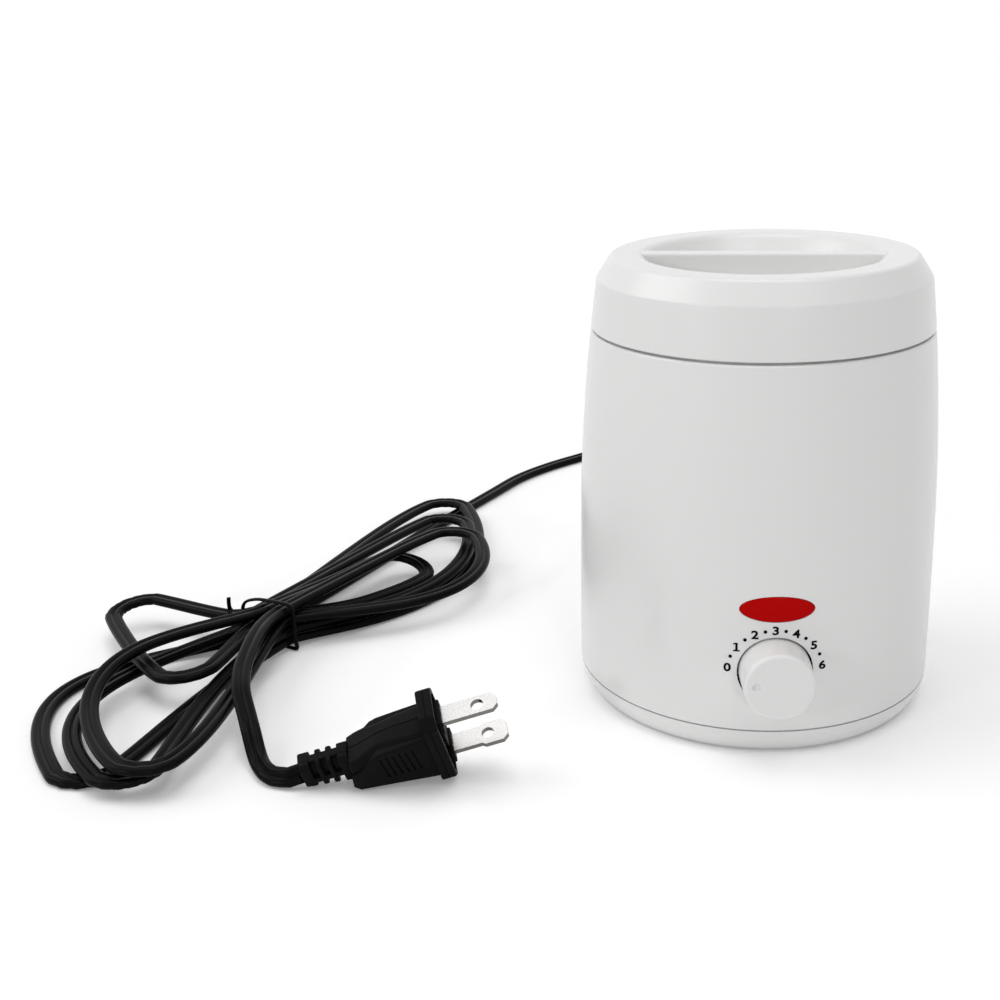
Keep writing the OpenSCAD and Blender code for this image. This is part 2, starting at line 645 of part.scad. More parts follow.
module thermostat_shaft() {
    color("lightgray") translate([0, 0, dial_z]) to_front() difference() {
        union() {
            translate([0, 0, -shaft_back_y]) cylinder(r = shaft_r, h = -shaft_front_y + shaft_back_y);
            translate([0, 0, -shaft_back_y]) cylinder(r = shaft_r + 1.5, h = 1.2);
        }
        translate([-shaft_r - 1, shaft_r - flat_cut, -knob_back_y]) cube([2*shaft_r + 2, flat_cut + 1, -shaft_front_y + knob_back_y + 1]);
    }
}

module thermostat() {
    front = -bracket_y;
    body_back = -thermostat_back_y;
    plate_z = -bracket_y - bracket_t;
    color("wheat") translate([0, 0, dial_z]) to_front() difference() {
        union() {
            // bush that passes through the bracket
            translate([0, 0, plate_z - 1]) cylinder(r = bush_r, h = -bush_front_y - plate_z + 1);
            // frame plate, ceramic stack and contact leaves
            translate([-9, -6, plate_z - 1.5]) cube([18, 12, 1.5]);
            translate([-9, -6, body_back]) cube([18, 12, 1.5]);
            for (s = [-1, 1]) translate([s*6.5, 0, body_back]) cylinder(r = 2.5, h = plate_z - body_back, $fn = 32);
            for (h = [3.2, 6.4]) for (s = [-1, 1]) translate([s*9 - 4.5, -3, body_back + h]) cube([9, 6, 0.8]);
        }
        translate([0, 0, -shaft_back_y - 0.3]) cylinder(r = shaft_r + running_play, h = 40);
        translate([0, 0, -shaft_back_y - 0.3]) cylinder(r = shaft_r + 2, h = plate_z - 1.5 + shaft_back_y + 0.3);
    }
}

bracket_screw_x = [-7, 7];
bracket_screw_y = bracket_y + bracket_t + bracket_foot_l - 3.5;

module thermostat_bracket() {
    top = dial_z + 8;
    color("lightgray") difference() {
        union() {
            translate([-bracket_half_w, bracket_y, bracket_foot_z]) cube([2*bracket_half_w, bracket_t, top - bracket_foot_z]);
            translate([-bracket_half_w, bracket_y, bracket_foot_z]) cube([2*bracket_half_w, bracket_t + bracket_foot_l, bracket_t]);
        }
        translate([0, 0, dial_z]) to_front() translate([0, 0, -bracket_y - bracket_t - 1]) cylinder(r = bush_r + 0.05, h = bracket_t + 2);
        for (x = bracket_screw_x) translate([x, bracket_screw_y, bracket_foot_z - 1]) cylinder(r = screw_r + 0.15, h = bracket_t + 2, $fn = 24);
        translate([-4, bracket_y + bracket_t + 4, bracket_foot_z - 1]) cube([8, 8, bracket_t + 2]);
    }
}

module thermostat_nut() {
    color("silver") translate([0, 0, dial_z]) to_front() translate([0, 0, -bracket_y]) difference() {
        cylinder(r = bush_r + 2.6, h = nut_t, $fn = 6);
        translate([0, 0, -1]) cylinder(r = bush_r + 0.05, h = nut_t + 2);
    }
}

module bracket_screws() {
    color("silver") for (x = bracket_screw_x) translate([x, bracket_screw_y, bracket_foot_z + bracket_t + 1.6])
        mirror([0, 0, 1]) screw(screw_r, small_screw_l, head_r - 0.3, 1.6, $fn = 24);
}

// A slice of the drum's wall between two depths, over the indicator's height
module wall_slice(out_depth, in_depth, half_h) {
    z0 = lens_z - half_h - 2;
    z1 = lens_z + half_h + 2;
    rotate_extrude() polygon(concat(side(z0, z1, out_depth, 4), side(z1, z0, in_depth, 4)));
}

module indicator_lens() {
    color("red") union() {
        intersection() {
            wall_slice(-lens_proud, lens_t, lens_half_h);
            translate([0, 0, lens_z]) to_front() linear_extrude(belly_r + 20) polygon(ellipse(lens_half_w, lens_half_h));
        }
        intersection() {
            wall_slice(wall + 0.1, lens_t, lens_half_h);
            translate([0, 0, lens_z]) to_front() linear_extrude(belly_r + 20)
                polygon(ellipse(lens_half_w + lens_lip, lens_half_h + lens_lip));
        }
    }
}

module lamp_holder() {
    color("ivory") difference() {
        translate([-holder_half_w, lamp_y - 4, lens_z - holder_half_h]) cube([2*holder_half_w, 7.5, 2*holder_half_h]);
        wall_slice(-10, lens_t + 0.1, holder_half_h);
        translate([-holder_half_w - 1, lamp_y, lens_z]) rotate([0, 90, 0]) cylinder(r = lamp_r + 0.15, h = 2*holder_half_w + 2, $fn = 32);
        translate([-holder_half_w + 2, lamp_y - 10, lens_z - lamp_r]) cube([2*holder_half_w - 4, 10, 2*lamp_r]);
    }
}

lamp_leg_y = 1.2;
module neon_lamp() {
    color("orange") translate([0, lamp_y, lens_z]) rotate([0, 90, 0]) {
        translate([0, 0, -7]) cylinder(r = lamp_r, h = 15, $fn = 32);
        translate([0, 0, 8]) cylinder(r1 = lamp_r, r2 = 0.8, h = 1.5, $fn = 32);
        for (s = [-1, 1]) translate([0, s*lamp_leg_y, -12]) cylinder(r = 0.3, h = 6, $fn = 16);
    }
}

terminal_pitch = 8.6;
terminal_l = 26;
terminal_w = 14;
terminal_y = 18;
terminal_z = floor_top_z + 1.5;
terminal_h = 11;
module terminal_block() {
    color("ivory") translate([0, terminal_y, terminal_z]) difference() {
        union() {
            translate([-terminal_l/2, -terminal_w/2, 0]) cube([terminal_l, terminal_w, 5]);
            for (i = [-1, 0, 1]) translate([i*terminal_pitch, 0, 0]) {
                translate([-3.4, -terminal_w/2, 0]) cube([6.8, terminal_w, 8]);
                for (s = [-1, 1]) translate([0, s*3.6, 0]) cylinder(r = 3, h = terminal_h, $fn = 32);
            }
        }
        for (i = [-1, 0, 1]) translate([i*terminal_pitch, 0, 0]) {
            for (s = [-1, 1]) translate([0, s*3.6, 6]) cylinder(r = 2, h = terminal_h, $fn = 32);
            translate([0, -terminal_w, 4]) rotate([-90, 0, 0]) cylinder(r = 1.5, h = 2*terminal_w, $fn = 24);
        }
    }
}

// An insulated wire that bends smoothly through points
module wire(points) {
    flat_sweep(smooth(points, 3), [for (a = [0:60:300]) wire_r*[cos(a), sin(a)]]);
}

wire_r = 0.7;
// Two wires share a terminal's hole, this far to either side of its axis
wire_side = 0.75;
wire_z = terminal_z + 4;
terminal_front_y = terminal_y - terminal_w/2;
terminal_back_y = terminal_y + terminal_w/2;

module mains_wires() {
    color("black") for (s = [-1, 1])
        wire([[s*1.6, relief_inner_y - mould_play, exit_z], [s*2, relief_inner_y - 4, exit_z - 0.4], [s*5, relief_inner_y - 10, exit_z - 6],
            [s*terminal_pitch + wire_side, terminal_back_y + 5, wire_z + 0.5], [s*terminal_pitch + wire_side, terminal_back_y + 1, wire_z],
            [s*terminal_pitch + wire_side, terminal_back_y - 3, wire_z]]);
}

module heater_wires() {
    hz = heater_under_z + heater_t/2;
    color("firebrick") {
        wire([[wire_side, terminal_front_y + 3, wire_z], [1, terminal_front_y - 5, wire_z + 2], [4, -6, wire_z + 12],
            [8, -20, hz - 12], [heater_terminal_x, -heater_r - 2, hz - 3], [heater_terminal_x, -heater_r + 3, hz]]);
        wire([[-terminal_pitch, terminal_front_y + 3, wire_z], [-terminal_pitch, terminal_front_y - 5, wire_z + 3], [-9, -6, wire_z + 15],
            [-9, -20, hz - 10], [-heater_terminal_x, -heater_r - 2, hz - 3], [-heater_terminal_x, -heater_r + 3, hz]]);
    }
}

module thermostat_wires() {
    y = thermostat_back_y - 3.2 + mould_play;
    color("saddlebrown") {
        wire([[terminal_pitch, terminal_front_y + 3, wire_z], [terminal_pitch, terminal_front_y - 5, wire_z + 0.5], [13, -4, wire_z + 4],
            [15, -20, dial_z - 6], [12, y + 6, dial_z], [11.5, y, dial_z]]);
        wire([[-wire_side, terminal_front_y + 3, wire_z], [-1.2, terminal_front_y - 3, wire_z], [-9, -2, wire_z + 1.5],
            [-15, -20, dial_z - 6], [-12, y + 6, dial_z], [-11.5, y, dial_z]]);
    }
}

module lamp_wires() {
    color("dimgray") {
        wire([[0, terminal_back_y - 3, wire_z], [0, terminal_back_y + 1, wire_z], [-2.5, terminal_back_y + 6, wire_z - 3],
            [-16, terminal_back_y + 5, wire_z - 2], [-28, 8, wire_z + 6],
            [-31, -18, wire_z + 18], [-22, lamp_y + 8, lens_z - 9], [-16, lamp_y + lamp_leg_y, lens_z], [-12.3, lamp_y + lamp_leg_y, lens_z]]);
        wire([[-terminal_pitch - wire_side, terminal_back_y - 3, wire_z], [-terminal_pitch - wire_side, terminal_back_y + 1, wire_z],
            [-terminal_pitch - 3, terminal_back_y + 3.5, wire_z], [-22, 20, wire_z + 2], [-30, 0, wire_z + 12], [-30, -22, wire_z + 24], [-22, lamp_y + 4, lens_z - 4], [-16, lamp_y - lamp_leg_y, lens_z],
            [-12.3, lamp_y - lamp_leg_y, lens_z]]);
    }
}

module strain_relief() {
    z_skin = drum_r(exit_z);
    z_in = relief_inner_y;
    z_tip = relief_tip_y;
    groove_step = (relief_out - 4.6)/relief_grooves;
    color("black") translate([0, 0, exit_z]) to_back() difference() {
        rotate_extrude() polygon(rounded([
            [0, z_in], [relief_hole_r - 1, z_in], [relief_hole_r + 1.6, z_in + 3.6], [relief_hole_r + 1.6, z_skin - wall - 0.7],
            [relief_hole_r - 0.2, z_skin - wall - 0.7], [relief_hole_r - 0.2, z_skin + 0.3], [relief_hole_r + 1, z_skin + 0.3],
            [relief_hole_r + 1, z_skin + 2.2, 1], [relief_hole_r - 0.4, z_skin + 2.6], [relief_tip_r, z_tip, 0.8], [0, z_tip]
        ]));
        // flexing grooves, with a web left above and below or to either side in turn
        for (i = [0:relief_grooves - 1]) translate([0, 0, z_skin + 4 + i*groove_step]) difference() {
            translate([-10, -10, 0]) cube([20, 20, relief_groove_w]);
            translate([-cord_w/2 - 0.6, -cord_t/2 - 0.6, -1]) cube([cord_w + 1.2, cord_t + 1.2, relief_groove_w + 2]);
            rotate(i%2*90) translate([-10, -1, -1]) cube([20, 2, relief_groove_w + 2]);
        }
    }
}
relief_grooves = 4;
relief_groove_w = 0.9;

module cord_lead() {
    color("black") flat_sweep(smooth(concat(LEAD_ROUTE, [hank_in - 8*hank_in_dir, hank_in]), 3), cord_outline(8));
}

module cord_hank() {
    fine = with_midpoints(HANK_PATH);
    least = min([for (i = [0:len(fine) - 8], j = [i + 7:len(fine) - 1]) flat_gap(fine[i], fine[j])]);
    echo(least_gap_mm = least, hank_length_mm = length_of(HANK_PATH));
    color("black") flat_sweep(HANK_PATH, cord_outline(6));
}

module cord_tail() {
    color("black") flat_sweep(smooth(TAIL_ROUTE, 8), cord_outline(8), tail_turn);
}

tie_w = 1.8;
tie_t = 1.1;
// The tie sits a little to one side of the place where the passes cross
tie_shift = 0.7;
module twist_tie() {
    half = 10.6;
    ring = [[-half, 1.3], [half, 1.3], [half, 7.6], [half + 1.4, 9], [half + 1.4, 12], [half, 13.4], [4.6, 16.2],
        [3.4, 16.6], [-half + 0.6, 16.8], [-half - 0.4, 15.8], [-half - 0.4, 8]];
    color("black") translate([hank_at[0], hank_at[1], 0]) rotate([0, 0, hank_heading]) rotate([90, 0, 90])
        translate([0, 0, tie_shift - tie_w/2]) linear_extrude(tie_w) difference() {
            offset(r = tie_t, $fn = 16) polygon(ring);
            polygon(ring);
        }
}

module on_plug() {
    translate(plug_face) rotate([0, 0, plug_heading]) rotate([0, -plug_tilt, 0]) rotate([plug_roll, 0, 0]) rotate([0, 90, 0]) children();
}

// The plug is drawn along +Z with its blade face at z = 0, the pitch along X and the width along Y
module plug_body() {
    w = flange_half_w;
    h = flange_half_h;
    cut = 3;
    color("black") on_plug() difference() {
        union() {
            // flange
            translate([0, 0, -plug_flange_t]) linear_extrude(plug_flange_t) polygon([
                [h - cut, w], [h, w - cut], [h, cut - w], [h - cut, -w], [cut - h, -w], [-h, cut - w], [-h, w - cut], [cut - h, w]
            ]);
            // body between flange and relief
            hull() {
                translate([0, 0, -plug_flange_t - 1]) cube([23, 14.6, 2], center = true);
                translate([0, 0, -22]) cube([17, 13, 1], center = true);
            }
            hull() {
                translate([0, 0, -21.6]) cube([17, 13, 1], center = true);
                translate([0, 0, -relief_start]) cube([9, 8.4, 1], center = true);
            }
            // raised insulation round each blade
            for (s = [-1, 1]) translate([s*blade_pitch/2, 0, 0]) cube([5, neutral_w + 1.6, 2.4], center = true);
            // tapered relief
            translate([0, 0, -plug_l]) linear_extrude(plug_l - relief_start, scale = 1.1) square([8.4, 6.6], center = true);
        }
        for (s = [-1, 1]) translate([s*blade_pitch/2, 0, 0]) cube([blade_t + 0.1, blade_w + 0.1, 2*blade_root], center = true);
        // relief slots, three rows a side
        for (i = [0:2], s = [-1, 1]) translate([0, s*3.9, -plug_l + 3 + i*4.2]) cube([5.4, 2.6, 1.8], center = true);
        for (i = [0:2], s = [-1, 1]) translate([s*4.9, 0, -plug_l + 3 + i*4.2]) cube([2.6, 4.4, 1.8], center = true);
    }
}
relief_start = plug_l - relief_l;

module plug_blades() {
    color("silver") on_plug() for (s = [-1, 1]) translate([s*blade_pitch/2, 0, 0]) blade(s > 0);
}

// One folded-tip blade; the neutral one widens outwards
module blade(neutral) {
    tip = 1.6;
    w = blade_w/2;
    e = neutral ? neutral_w/2 : w;
    difference() {
        translate([-blade_t/2, 0, 0]) rotate([90, 0, 90]) linear_extrude(blade_t) polygon([
            [-w, -blade_root], [w, -blade_root], [w, 9.5], [e, 10.5], [e, blade_l - tip], [e - tip, blade_l],
            [tip - e, blade_l], [-e, blade_l - tip], [-e, 10.5], [-w, 9.5]
        ]);
        translate([-blade_t, 0, blade_hole_at]) rotate([0, 90, 0]) cylinder(r = blade_hole_r, h = 2*blade_t, $fn = 32);
    }
}

lid();
body_shell();
base();
feet();
base_screws();
top_ring();
wax_pot();
heating_well();
well_screws();
heater();
heater_strap();
strap_screws();
thermal_fuse();
knob();
thermostat_shaft();
thermostat();
thermostat_bracket();
thermostat_nut();
bracket_screws();
indicator_lens();
lamp_holder();
neon_lamp();
terminal_block();
mains_wires();
heater_wires();
thermostat_wires();
lamp_wires();
strain_relief();
cord_lead();
cord_hank();
cord_tail();
twist_tie();
plug_body();
plug_blades();
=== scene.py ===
"""Looks of a small wax warmer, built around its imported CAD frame.

Everything is in metres in the CAD's own frame: +Z up on the drum's axis, -Y out of the dial.
Sizes below are in millimetres and are scaled once, by MM.
"""

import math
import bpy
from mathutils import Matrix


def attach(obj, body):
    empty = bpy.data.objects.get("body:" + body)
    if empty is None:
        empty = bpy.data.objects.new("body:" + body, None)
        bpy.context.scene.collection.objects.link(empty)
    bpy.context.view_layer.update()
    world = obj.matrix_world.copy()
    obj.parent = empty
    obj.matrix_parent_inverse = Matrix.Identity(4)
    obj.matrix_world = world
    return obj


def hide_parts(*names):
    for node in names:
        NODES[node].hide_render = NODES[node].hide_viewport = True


bl_info = {
    "name": "Wax warmer looks",
    "version": (1, 0, 0),
    "blender": (4, 5, 0),
    "location": "3D View > Sidebar > Warmer",
    "description": "Builds the visible pieces of a small wax warmer around its CAD frame",
    "category": "Object",
}

from types import SimpleNamespace

import bmesh
import bpy
from mathutils import Matrix, Vector

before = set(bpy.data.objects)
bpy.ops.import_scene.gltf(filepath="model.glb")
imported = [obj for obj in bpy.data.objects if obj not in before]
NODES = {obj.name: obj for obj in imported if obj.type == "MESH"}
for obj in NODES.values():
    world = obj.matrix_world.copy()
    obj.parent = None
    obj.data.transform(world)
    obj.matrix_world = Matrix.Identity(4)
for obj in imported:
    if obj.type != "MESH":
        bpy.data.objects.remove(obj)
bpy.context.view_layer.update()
MM = 0.001


# Sizes and colours that a user would change

def size(name, value, description):
    """A length that a user may change, given here in mm."""
    return bpy.props.FloatProperty(
        name=name,
        description=description,
        default=value * MM,
        subtype="DISTANCE",
        unit="LENGTH",
        precision=5,
    )


def colour(name, value, description):
    """A scene linear colour that a user may change."""
    return bpy.props.FloatVectorProperty(name=name, description=description, subtype="COLOR", default=value)


class DrumSizes(bpy.types.PropertyGroup):
    """Outline of the drum, as in the CAD source, with its indicator and its printed scale"""

    belly_r: size("Belly radius", 55.8, "Radius at the widest height")
    belly_z: size("Belly height", 15.0, "Height of the widest place")
    low_curve_r: size("Low curve", 2500.0, "Radius of the lower side curve")
    high_curve_r: size("High curve", 656.0, "Radius of the upper side curve")
    curve_change_z: size("Curve change", 60.0, "Height where the side curve tightens")
    wall: size("Wall", 2.4, "Thickness of the drum's wall")
    dial_z: size("Dial height", 28.0, "Height of the dial's centre")
    scale_half_w: size("Scale half width", 13.9, "Half width of the arc of numbers")
    scale_half_h: size("Scale half height", 13.15, "Half height of the arc of numbers")
    number_h: size("Number height", 2.7, "Height of a number")
    dot_r: size("Dot radius", 0.52, "Radius of a dot between numbers")
    print_t: size("Print thickness", 0.04, "How far the print stands on the drum")
    lens_z: size("Indicator height", 47.7, "Height of the indicator's centre")
    lens_half_w: size("Indicator half width", 10.7, "Half width of the indicator")
    lens_half_h: size("Indicator half height", 3.9, "Half height of the indicator")
    lens_proud: size("Indicator proud", 0.25, "How far the indicator stands out of the drum")
    lens_lip: size("Indicator lip", 1.3, "Width of the lip behind the wall")


class LeadSizes(bpy.types.PropertyGroup):
    """The flat two-core lead and its tie"""

    width: size("Width", 6.0, "Width of the flat lead")
    thickness: size("Thickness", 3.0, "Thickness of the flat lead")
    groove: size("Groove", 0.5, "Depth of the groove between the cores")
    step: size("Step", 1.4, "Distance between rings of the mesh")
    tie_width: size("Tie width", 1.8, "Width of the twist tie")
    tie_thickness: size("Tie thickness", 1.1, "Thickness of the twist tie")


class PlugSizes(bpy.types.PropertyGroup):
    """The moulded plug"""

    flange_half_h: size("Flange half height", 13.5, "Half the flange's size along the blades' pitch")
    flange_half_w: size("Flange half width", 8.4, "Half the flange's width")
    flange_cut: size("Flange corner", 3.0, "Cut corner of the flange")
    flange_t: size("Flange thickness", 4.6, "Thickness of the flange")
    pitch: size("Blade pitch", 12.7, "Distance between the blades")
    groove_step: size("Grip groove step", 1.9, "Distance between grip grooves")
    groove_w: size("Grip groove width", 0.55, "Width of a grip groove")


class Colours(bpy.types.PropertyGroup):
    """Colours of the finishes, scene linear"""

    white: colour("White", (0.78, 0.78, 0.775), "Satin white plastic")
    black: colour("Black", (0.002, 0.002, 0.0022), "Lead and plug")
    ink: colour("Ink", (0.001, 0.001, 0.001), "Printed scale")
    red: colour("Red", (0.46, 0.0, 0.0), "Indicator")
    floor: colour("Floor", (0.93, 0.93, 0.93), "Floor")


def in_mm(group):
    """A group's lengths in mm."""
    return SimpleNamespace(**{name: getattr(group, name) / MM for name in group.__annotations__})


def sizes():
    return in_mm(bpy.context.scene.warmer_drum)


def lead():
    return in_mm(bpy.context.scene.warmer_lead)


def plug():
    return in_mm(bpy.context.scene.warmer_plug)


def colours():
    return bpy.context.scene.warmer_colours


def drum_r(z):
    """Radius of the drum's outside at height z, in mm."""
    s = sizes()
    low = s.belly_r - (min(z, s.curve_change_z) - s.belly_z) ** 2 / (2 * s.low_curve_r)
    if z <= s.curve_change_z:
        return low
    rise = z - s.curve_change_z
    return low - rise * (s.curve_change_z - s.belly_z) / s.low_curve_r - rise ** 2 / (2 * s.high_curve_r)


# Node groups and materials

# Socket numbers of a Mix node that mixes colours
MIX_SHARE, MIX_A, MIX_B, MIX_RESULT = 0, 6, 7, 2
# Noise scale of the slow change of tint over a moulding
BROAD_SCALE = 18.0
# How much of a moulding's colour is left where the tint is darkest
DARKER = 0.9


def made_once(store, name):
    """Marks a maker of a node group or material, which is then made the first time only."""
    def marked(maker):
        def made():
            return getattr(bpy.data, store).get(name) or maker(name)
        return made
    return marked


def new_group(name, inputs, outputs):
    """An empty shader group with its sockets, its input node and its output node."""
    tree = bpy.data.node_groups.new(name, "ShaderNodeTree")
    for label, value in inputs.items():
        socket = tree.interface.new_socket(label, in_out="INPUT", socket_type="NodeSocketFloat")
        socket.default_value = value
    for label in outputs:
        tree.interface.new_socket(label, in_out="OUTPUT", socket_type="NodeSocketFloat")
    return tree, tree.nodes.new("NodeGroupInput"), tree.nodes.new("NodeGroupOutput")


def feed(tree, value, socket):
    """Gives a socket a plain value or what another socket puts out."""
    if isinstance(value, bpy.types.NodeSocket):
        tree.links.new(value, socket)
    else:
        socket.default_value = value


def noise_on_object(tree, scale, detail, roughness=0.5):
    """A noise on object coordinates."""
    place = tree.nodes.new("ShaderNodeTexCoord")
    noise = tree.nodes.new("ShaderNodeTexNoise")
    noise.inputs["Detail"].default_value = detail
    noise.inputs["Roughness"].default_value = roughness
    tree.links.new(place.outputs["Object"], noise.inputs["Vector"])
    feed(tree, scale, noise.inputs["Scale"])
    return noise.outputs["Fac"]


def mapped(tree, value, low, high, start=0.0, end=1.0):
    """value, taken from start..end to low..high."""
    node = tree.nodes.new("ShaderNodeMapRange")
    given = {"Value": value, "From Min": start, "From Max": end, "To Min": low, "To Max": high}
    for label, part in given.items():
        feed(tree, part, node.inputs[label])
    return node.outputs["Result"]


def mixed(tree, share, a, b):
    """The colour at a share of the way from a to b."""
    node = tree.nodes.new("ShaderNodeMix")
    node.data_type = "RGBA"
    feed(tree, share, node.inputs[MIX_SHARE])
    feed(tree, a, node.inputs[MIX_A])
    feed(tree, b, node.inputs[MIX_B])
    return node.outputs[MIX_RESULT]


def seen_rays(tree):
    """1 for a ray from the camera, a reflection or a transmission."""
    light_path = tree.nodes.new("ShaderNodeLightPath")
    found = light_path.outputs["Is Camera Ray"]
    for label in ("Is Glossy Ray", "Is Transmission Ray"):
        most = tree.nodes.new("ShaderNodeMath")
        most.operation = "MAXIMUM"
        tree.links.new(found, most.inputs[0])
        tree.links.new(light_path.outputs[label], most.inputs[1])
        found = most.outputs[0]
    return found


@made_once("node_groups", "moulded grain")
def moulded_grain(name):
    """Fine spark-eroded grain of a moulded part: height, roughness and a slight tint."""
    inputs = {"Scale": 2500.0, "Roughness Low": 0.4, "Roughness High": 0.5, "Tint Low": 0.97}
    tree, given, out = new_group(name, inputs, ("Height", "Roughness", "Tint"))
    given, out = given.outputs, out.inputs
    fine = noise_on_object(tree, given["Scale"], 2.0)
    broad = noise_on_object(tree, BROAD_SCALE, 3.0)
    feed(tree, fine, out["Height"])
    feed(tree, mapped(tree, fine, given["Roughness Low"], given["Roughness High"]), out["Roughness"])
    feed(tree, mapped(tree, broad, given["Tint Low"], 1.0), out["Tint"])
    return tree


@made_once("node_groups", "spun marks")
def spun_marks(name):
    """Fine rings left by a spinning tool round the Z axis: height and roughness."""
    inputs = {"Rings": 900.0, "Roughness Low": 0.22, "Roughness High": 0.4}
    tree, given, out = new_group(name, inputs, ("Height", "Roughness"))
    given, out = given.outputs, out.inputs
    place = tree.nodes.new("ShaderNodeTexCoord")
    parts = tree.nodes.new("ShaderNodeSeparateXYZ")
    flat = tree.nodes.new("ShaderNodeCombineXYZ")
    radius = tree.nodes.new("ShaderNodeVectorMath")
    radius.operation = "LENGTH"
    ring = tree.nodes.new("ShaderNodeCombineXYZ")
    noise = tree.nodes.new("ShaderNodeTexNoise")
    noise.inputs["Detail"].default_value = 3.0
    marks = noise.outputs["Fac"]
    for start, end in (
        (place.outputs["Object"], parts.inputs[0]),
        (parts.outputs["X"], flat.inputs["X"]),
        (parts.outputs["Y"], flat.inputs["Y"]),
        (flat.outputs[0], radius.inputs[0]),
        (radius.outputs["Value"], ring.inputs["X"]),
        (parts.outputs["Z"], ring.inputs["Y"]),
        (ring.outputs[0], noise.inputs["Vector"]),
        (given["Rings"], noise.inputs["Scale"]),
        (marks, out["Height"]),
        (mapped(tree, marks, given["Roughness Low"], given["Roughness High"]), out["Roughness"]),
    ):
        tree.links.new(start, end)
    return tree


def new_material(name):
    """A new material, with its nodes and its shader."""
    material = bpy.data.materials.new(name)
    material.use_nodes = True
    tree = material.node_tree
    return material, tree, tree.nodes["Principled BSDF"]


def group_node(tree, group, values):
    """A shader group's node and the values on its inputs."""
    node = tree.nodes.new("ShaderNodeGroup")
    node.node_tree = group
    for label, value in values.items():
        node.inputs[label].default_value = value
    return node.outputs


def bump(tree, shader, height, strength, distance):
    """Raises the shader's surface by height, over a distance in mm."""
    node = tree.nodes.new("ShaderNodeBump")
    node.inputs["Strength"].default_value = strength
    node.inputs["Distance"].default_value = distance * MM
    feed(tree, height, node.inputs["Height"])
    feed(tree, node.outputs["Normal"], shader.inputs["Normal"])


def moulded(name, base, low, high, scale=2500.0, tint=0.97, strength=0.25, depth=0.05, specular=0.5):
    """A moulded plastic or rubber: grain in its bump, its roughness from low to high, and its colour."""
    material, tree, shader = new_material(name)
    values = {"Scale": scale, "Roughness Low": low, "Roughness High": high, "Tint Low": tint}
    grain = group_node(tree, moulded_grain(), values)
    darker = [part * DARKER for part in base]
    shade = mixed(tree, grain["Tint"], (*darker, 1.0), (*base, 1.0))
    feed(tree, shade, shader.inputs["Base Color"])
    feed(tree, grain["Roughness"], shader.inputs["Roughness"])
    shader.inputs["Specular IOR Level"].default_value = specular
    bump(tree, shader, grain["Height"], strength, depth)
    return material


@made_once("materials", "spun aluminium")
def spun_aluminium(name):
    """The pot and the well, with rings from their spinning."""
    material, tree, shader = new_material(name)
    marks = group_node(tree, spun_marks(), {"Rings": 900.0, "Roughness Low": 0.22, "Roughness High": 0.4})
    shader.inputs["Base Color"].default_value = (0.74, 0.75, 0.76, 1.0)
    shader.inputs["Metallic"].default_value = 1.0
    feed(tree, marks["Roughness"], shader.inputs["Roughness"])
    bump(tree, shader, marks["Height"], 0.2, 0.05)
    return material


def metal(name, base, low=0.2, high=0.35):
    """A plated or pressed metal with a faint uneven polish."""
    material = moulded(name, base, low, high, scale=1200.0, tint=0.9, strength=0.08, depth=0.02)
    material.node_tree.nodes["Principled BSDF"].inputs["Metallic"].default_value = 1.0
    return material


def painted_over(material, mix):
    """Replaces a material's colour by what mix makes of it."""
    tree = material.node_tree
    base = tree.nodes["Principled BSDF"].inputs["Base Color"]
    feed(tree, mix(tree, base.links[0].from_socket), base)
    return material


@made_once("materials", "satin white plastic")
def white_plastic(name):
    return moulded(name, colours().white, 0.2, 0.3, scale=2600.0, tint=0.94, strength=0.5, depth=0.03)


@made_once("materials", "black flexible plastic")
def black_plastic(name):
    black = colours().black
    return moulded(name, black, 0.24, 0.34, scale=900.0, tint=0.8, strength=0.15, depth=0.04, specular=0.05)


@made_once("materials", "matt black plastic")
def matt_black_plastic(name):
    """The plug's coarse moulding, with pale specks where it is worn."""
    def worn(tree, shade):
        specks = mapped(tree, noise_on_object(tree, 700.0, 4.0, 0.7), 0.0, 0.5, 0.66, 0.76)
        return mixed(tree, specks, shade, (0.09, 0.09, 0.09, 1.0))

    black = colours().black
    plain = moulded(name, black, 0.42, 0.6, scale=1900.0, tint=0.7, strength=0.6, depth=0.06, specular=0.06)
    return painted_over(plain, worn)


@made_once("materials", "plated nickel")
def plated_blades(name):
    """Bright nickel on the wide faces, with painted shade on the edges, which are told by their normal and
    painted dark grey.
    """
    def sheared(tree, shade):
        place = tree.nodes.new("ShaderNodeTexCoord")
        along = tree.nodes.new("ShaderNodeVectorMath")
        along.operation = "DOT_PRODUCT"
        along.inputs[1].default_value = plug_matrix().to_3x3() @ Vector((1, 0, 0))
        square_on = tree.nodes.new("ShaderNodeMath")
        square_on.operation = "ABSOLUTE"
        feed(tree, place.outputs["Normal"], along.inputs[0])
        feed(tree, along.outputs["Value"], square_on.inputs[0])
        wide_face = mapped(tree, square_on.outputs[0], 0.0, 1.0, 0.5, 0.9)
        # Painted shade: faces that are not square on to the blades' wide sides get a dark grey in place of
        # the nickel.
        return mixed(tree, wide_face, (0.2, 0.19, 0.18, 1.0), shade)

    return painted_over(metal(name, (0.66, 0.65, 0.64), 0.2, 0.34), sheared)


@made_once("materials", "printed ink")
def printed_ink(name):
    ink = colours().ink
    return moulded(name, ink, 0.4, 0.55, scale=1800.0, tint=0.85, strength=0.1, depth=0.01, specular=0.08)


@made_once("materials", "red lens")
def red_lens(name):
    red = colours().red
    return moulded(name, red, 0.05, 0.1, scale=260.0, tint=0.8, strength=0.04, depth=0.02, specular=0.04)


def finish_node(name, material):
    """Gives a CAD node a finish and leaves its shape alone."""
    mesh = NODES[name].data
    mesh.materials.clear()
    mesh.materials.append(material)


# Meshes

# Edges that turn by more than this are rounded
SHARP = math.radians(28)


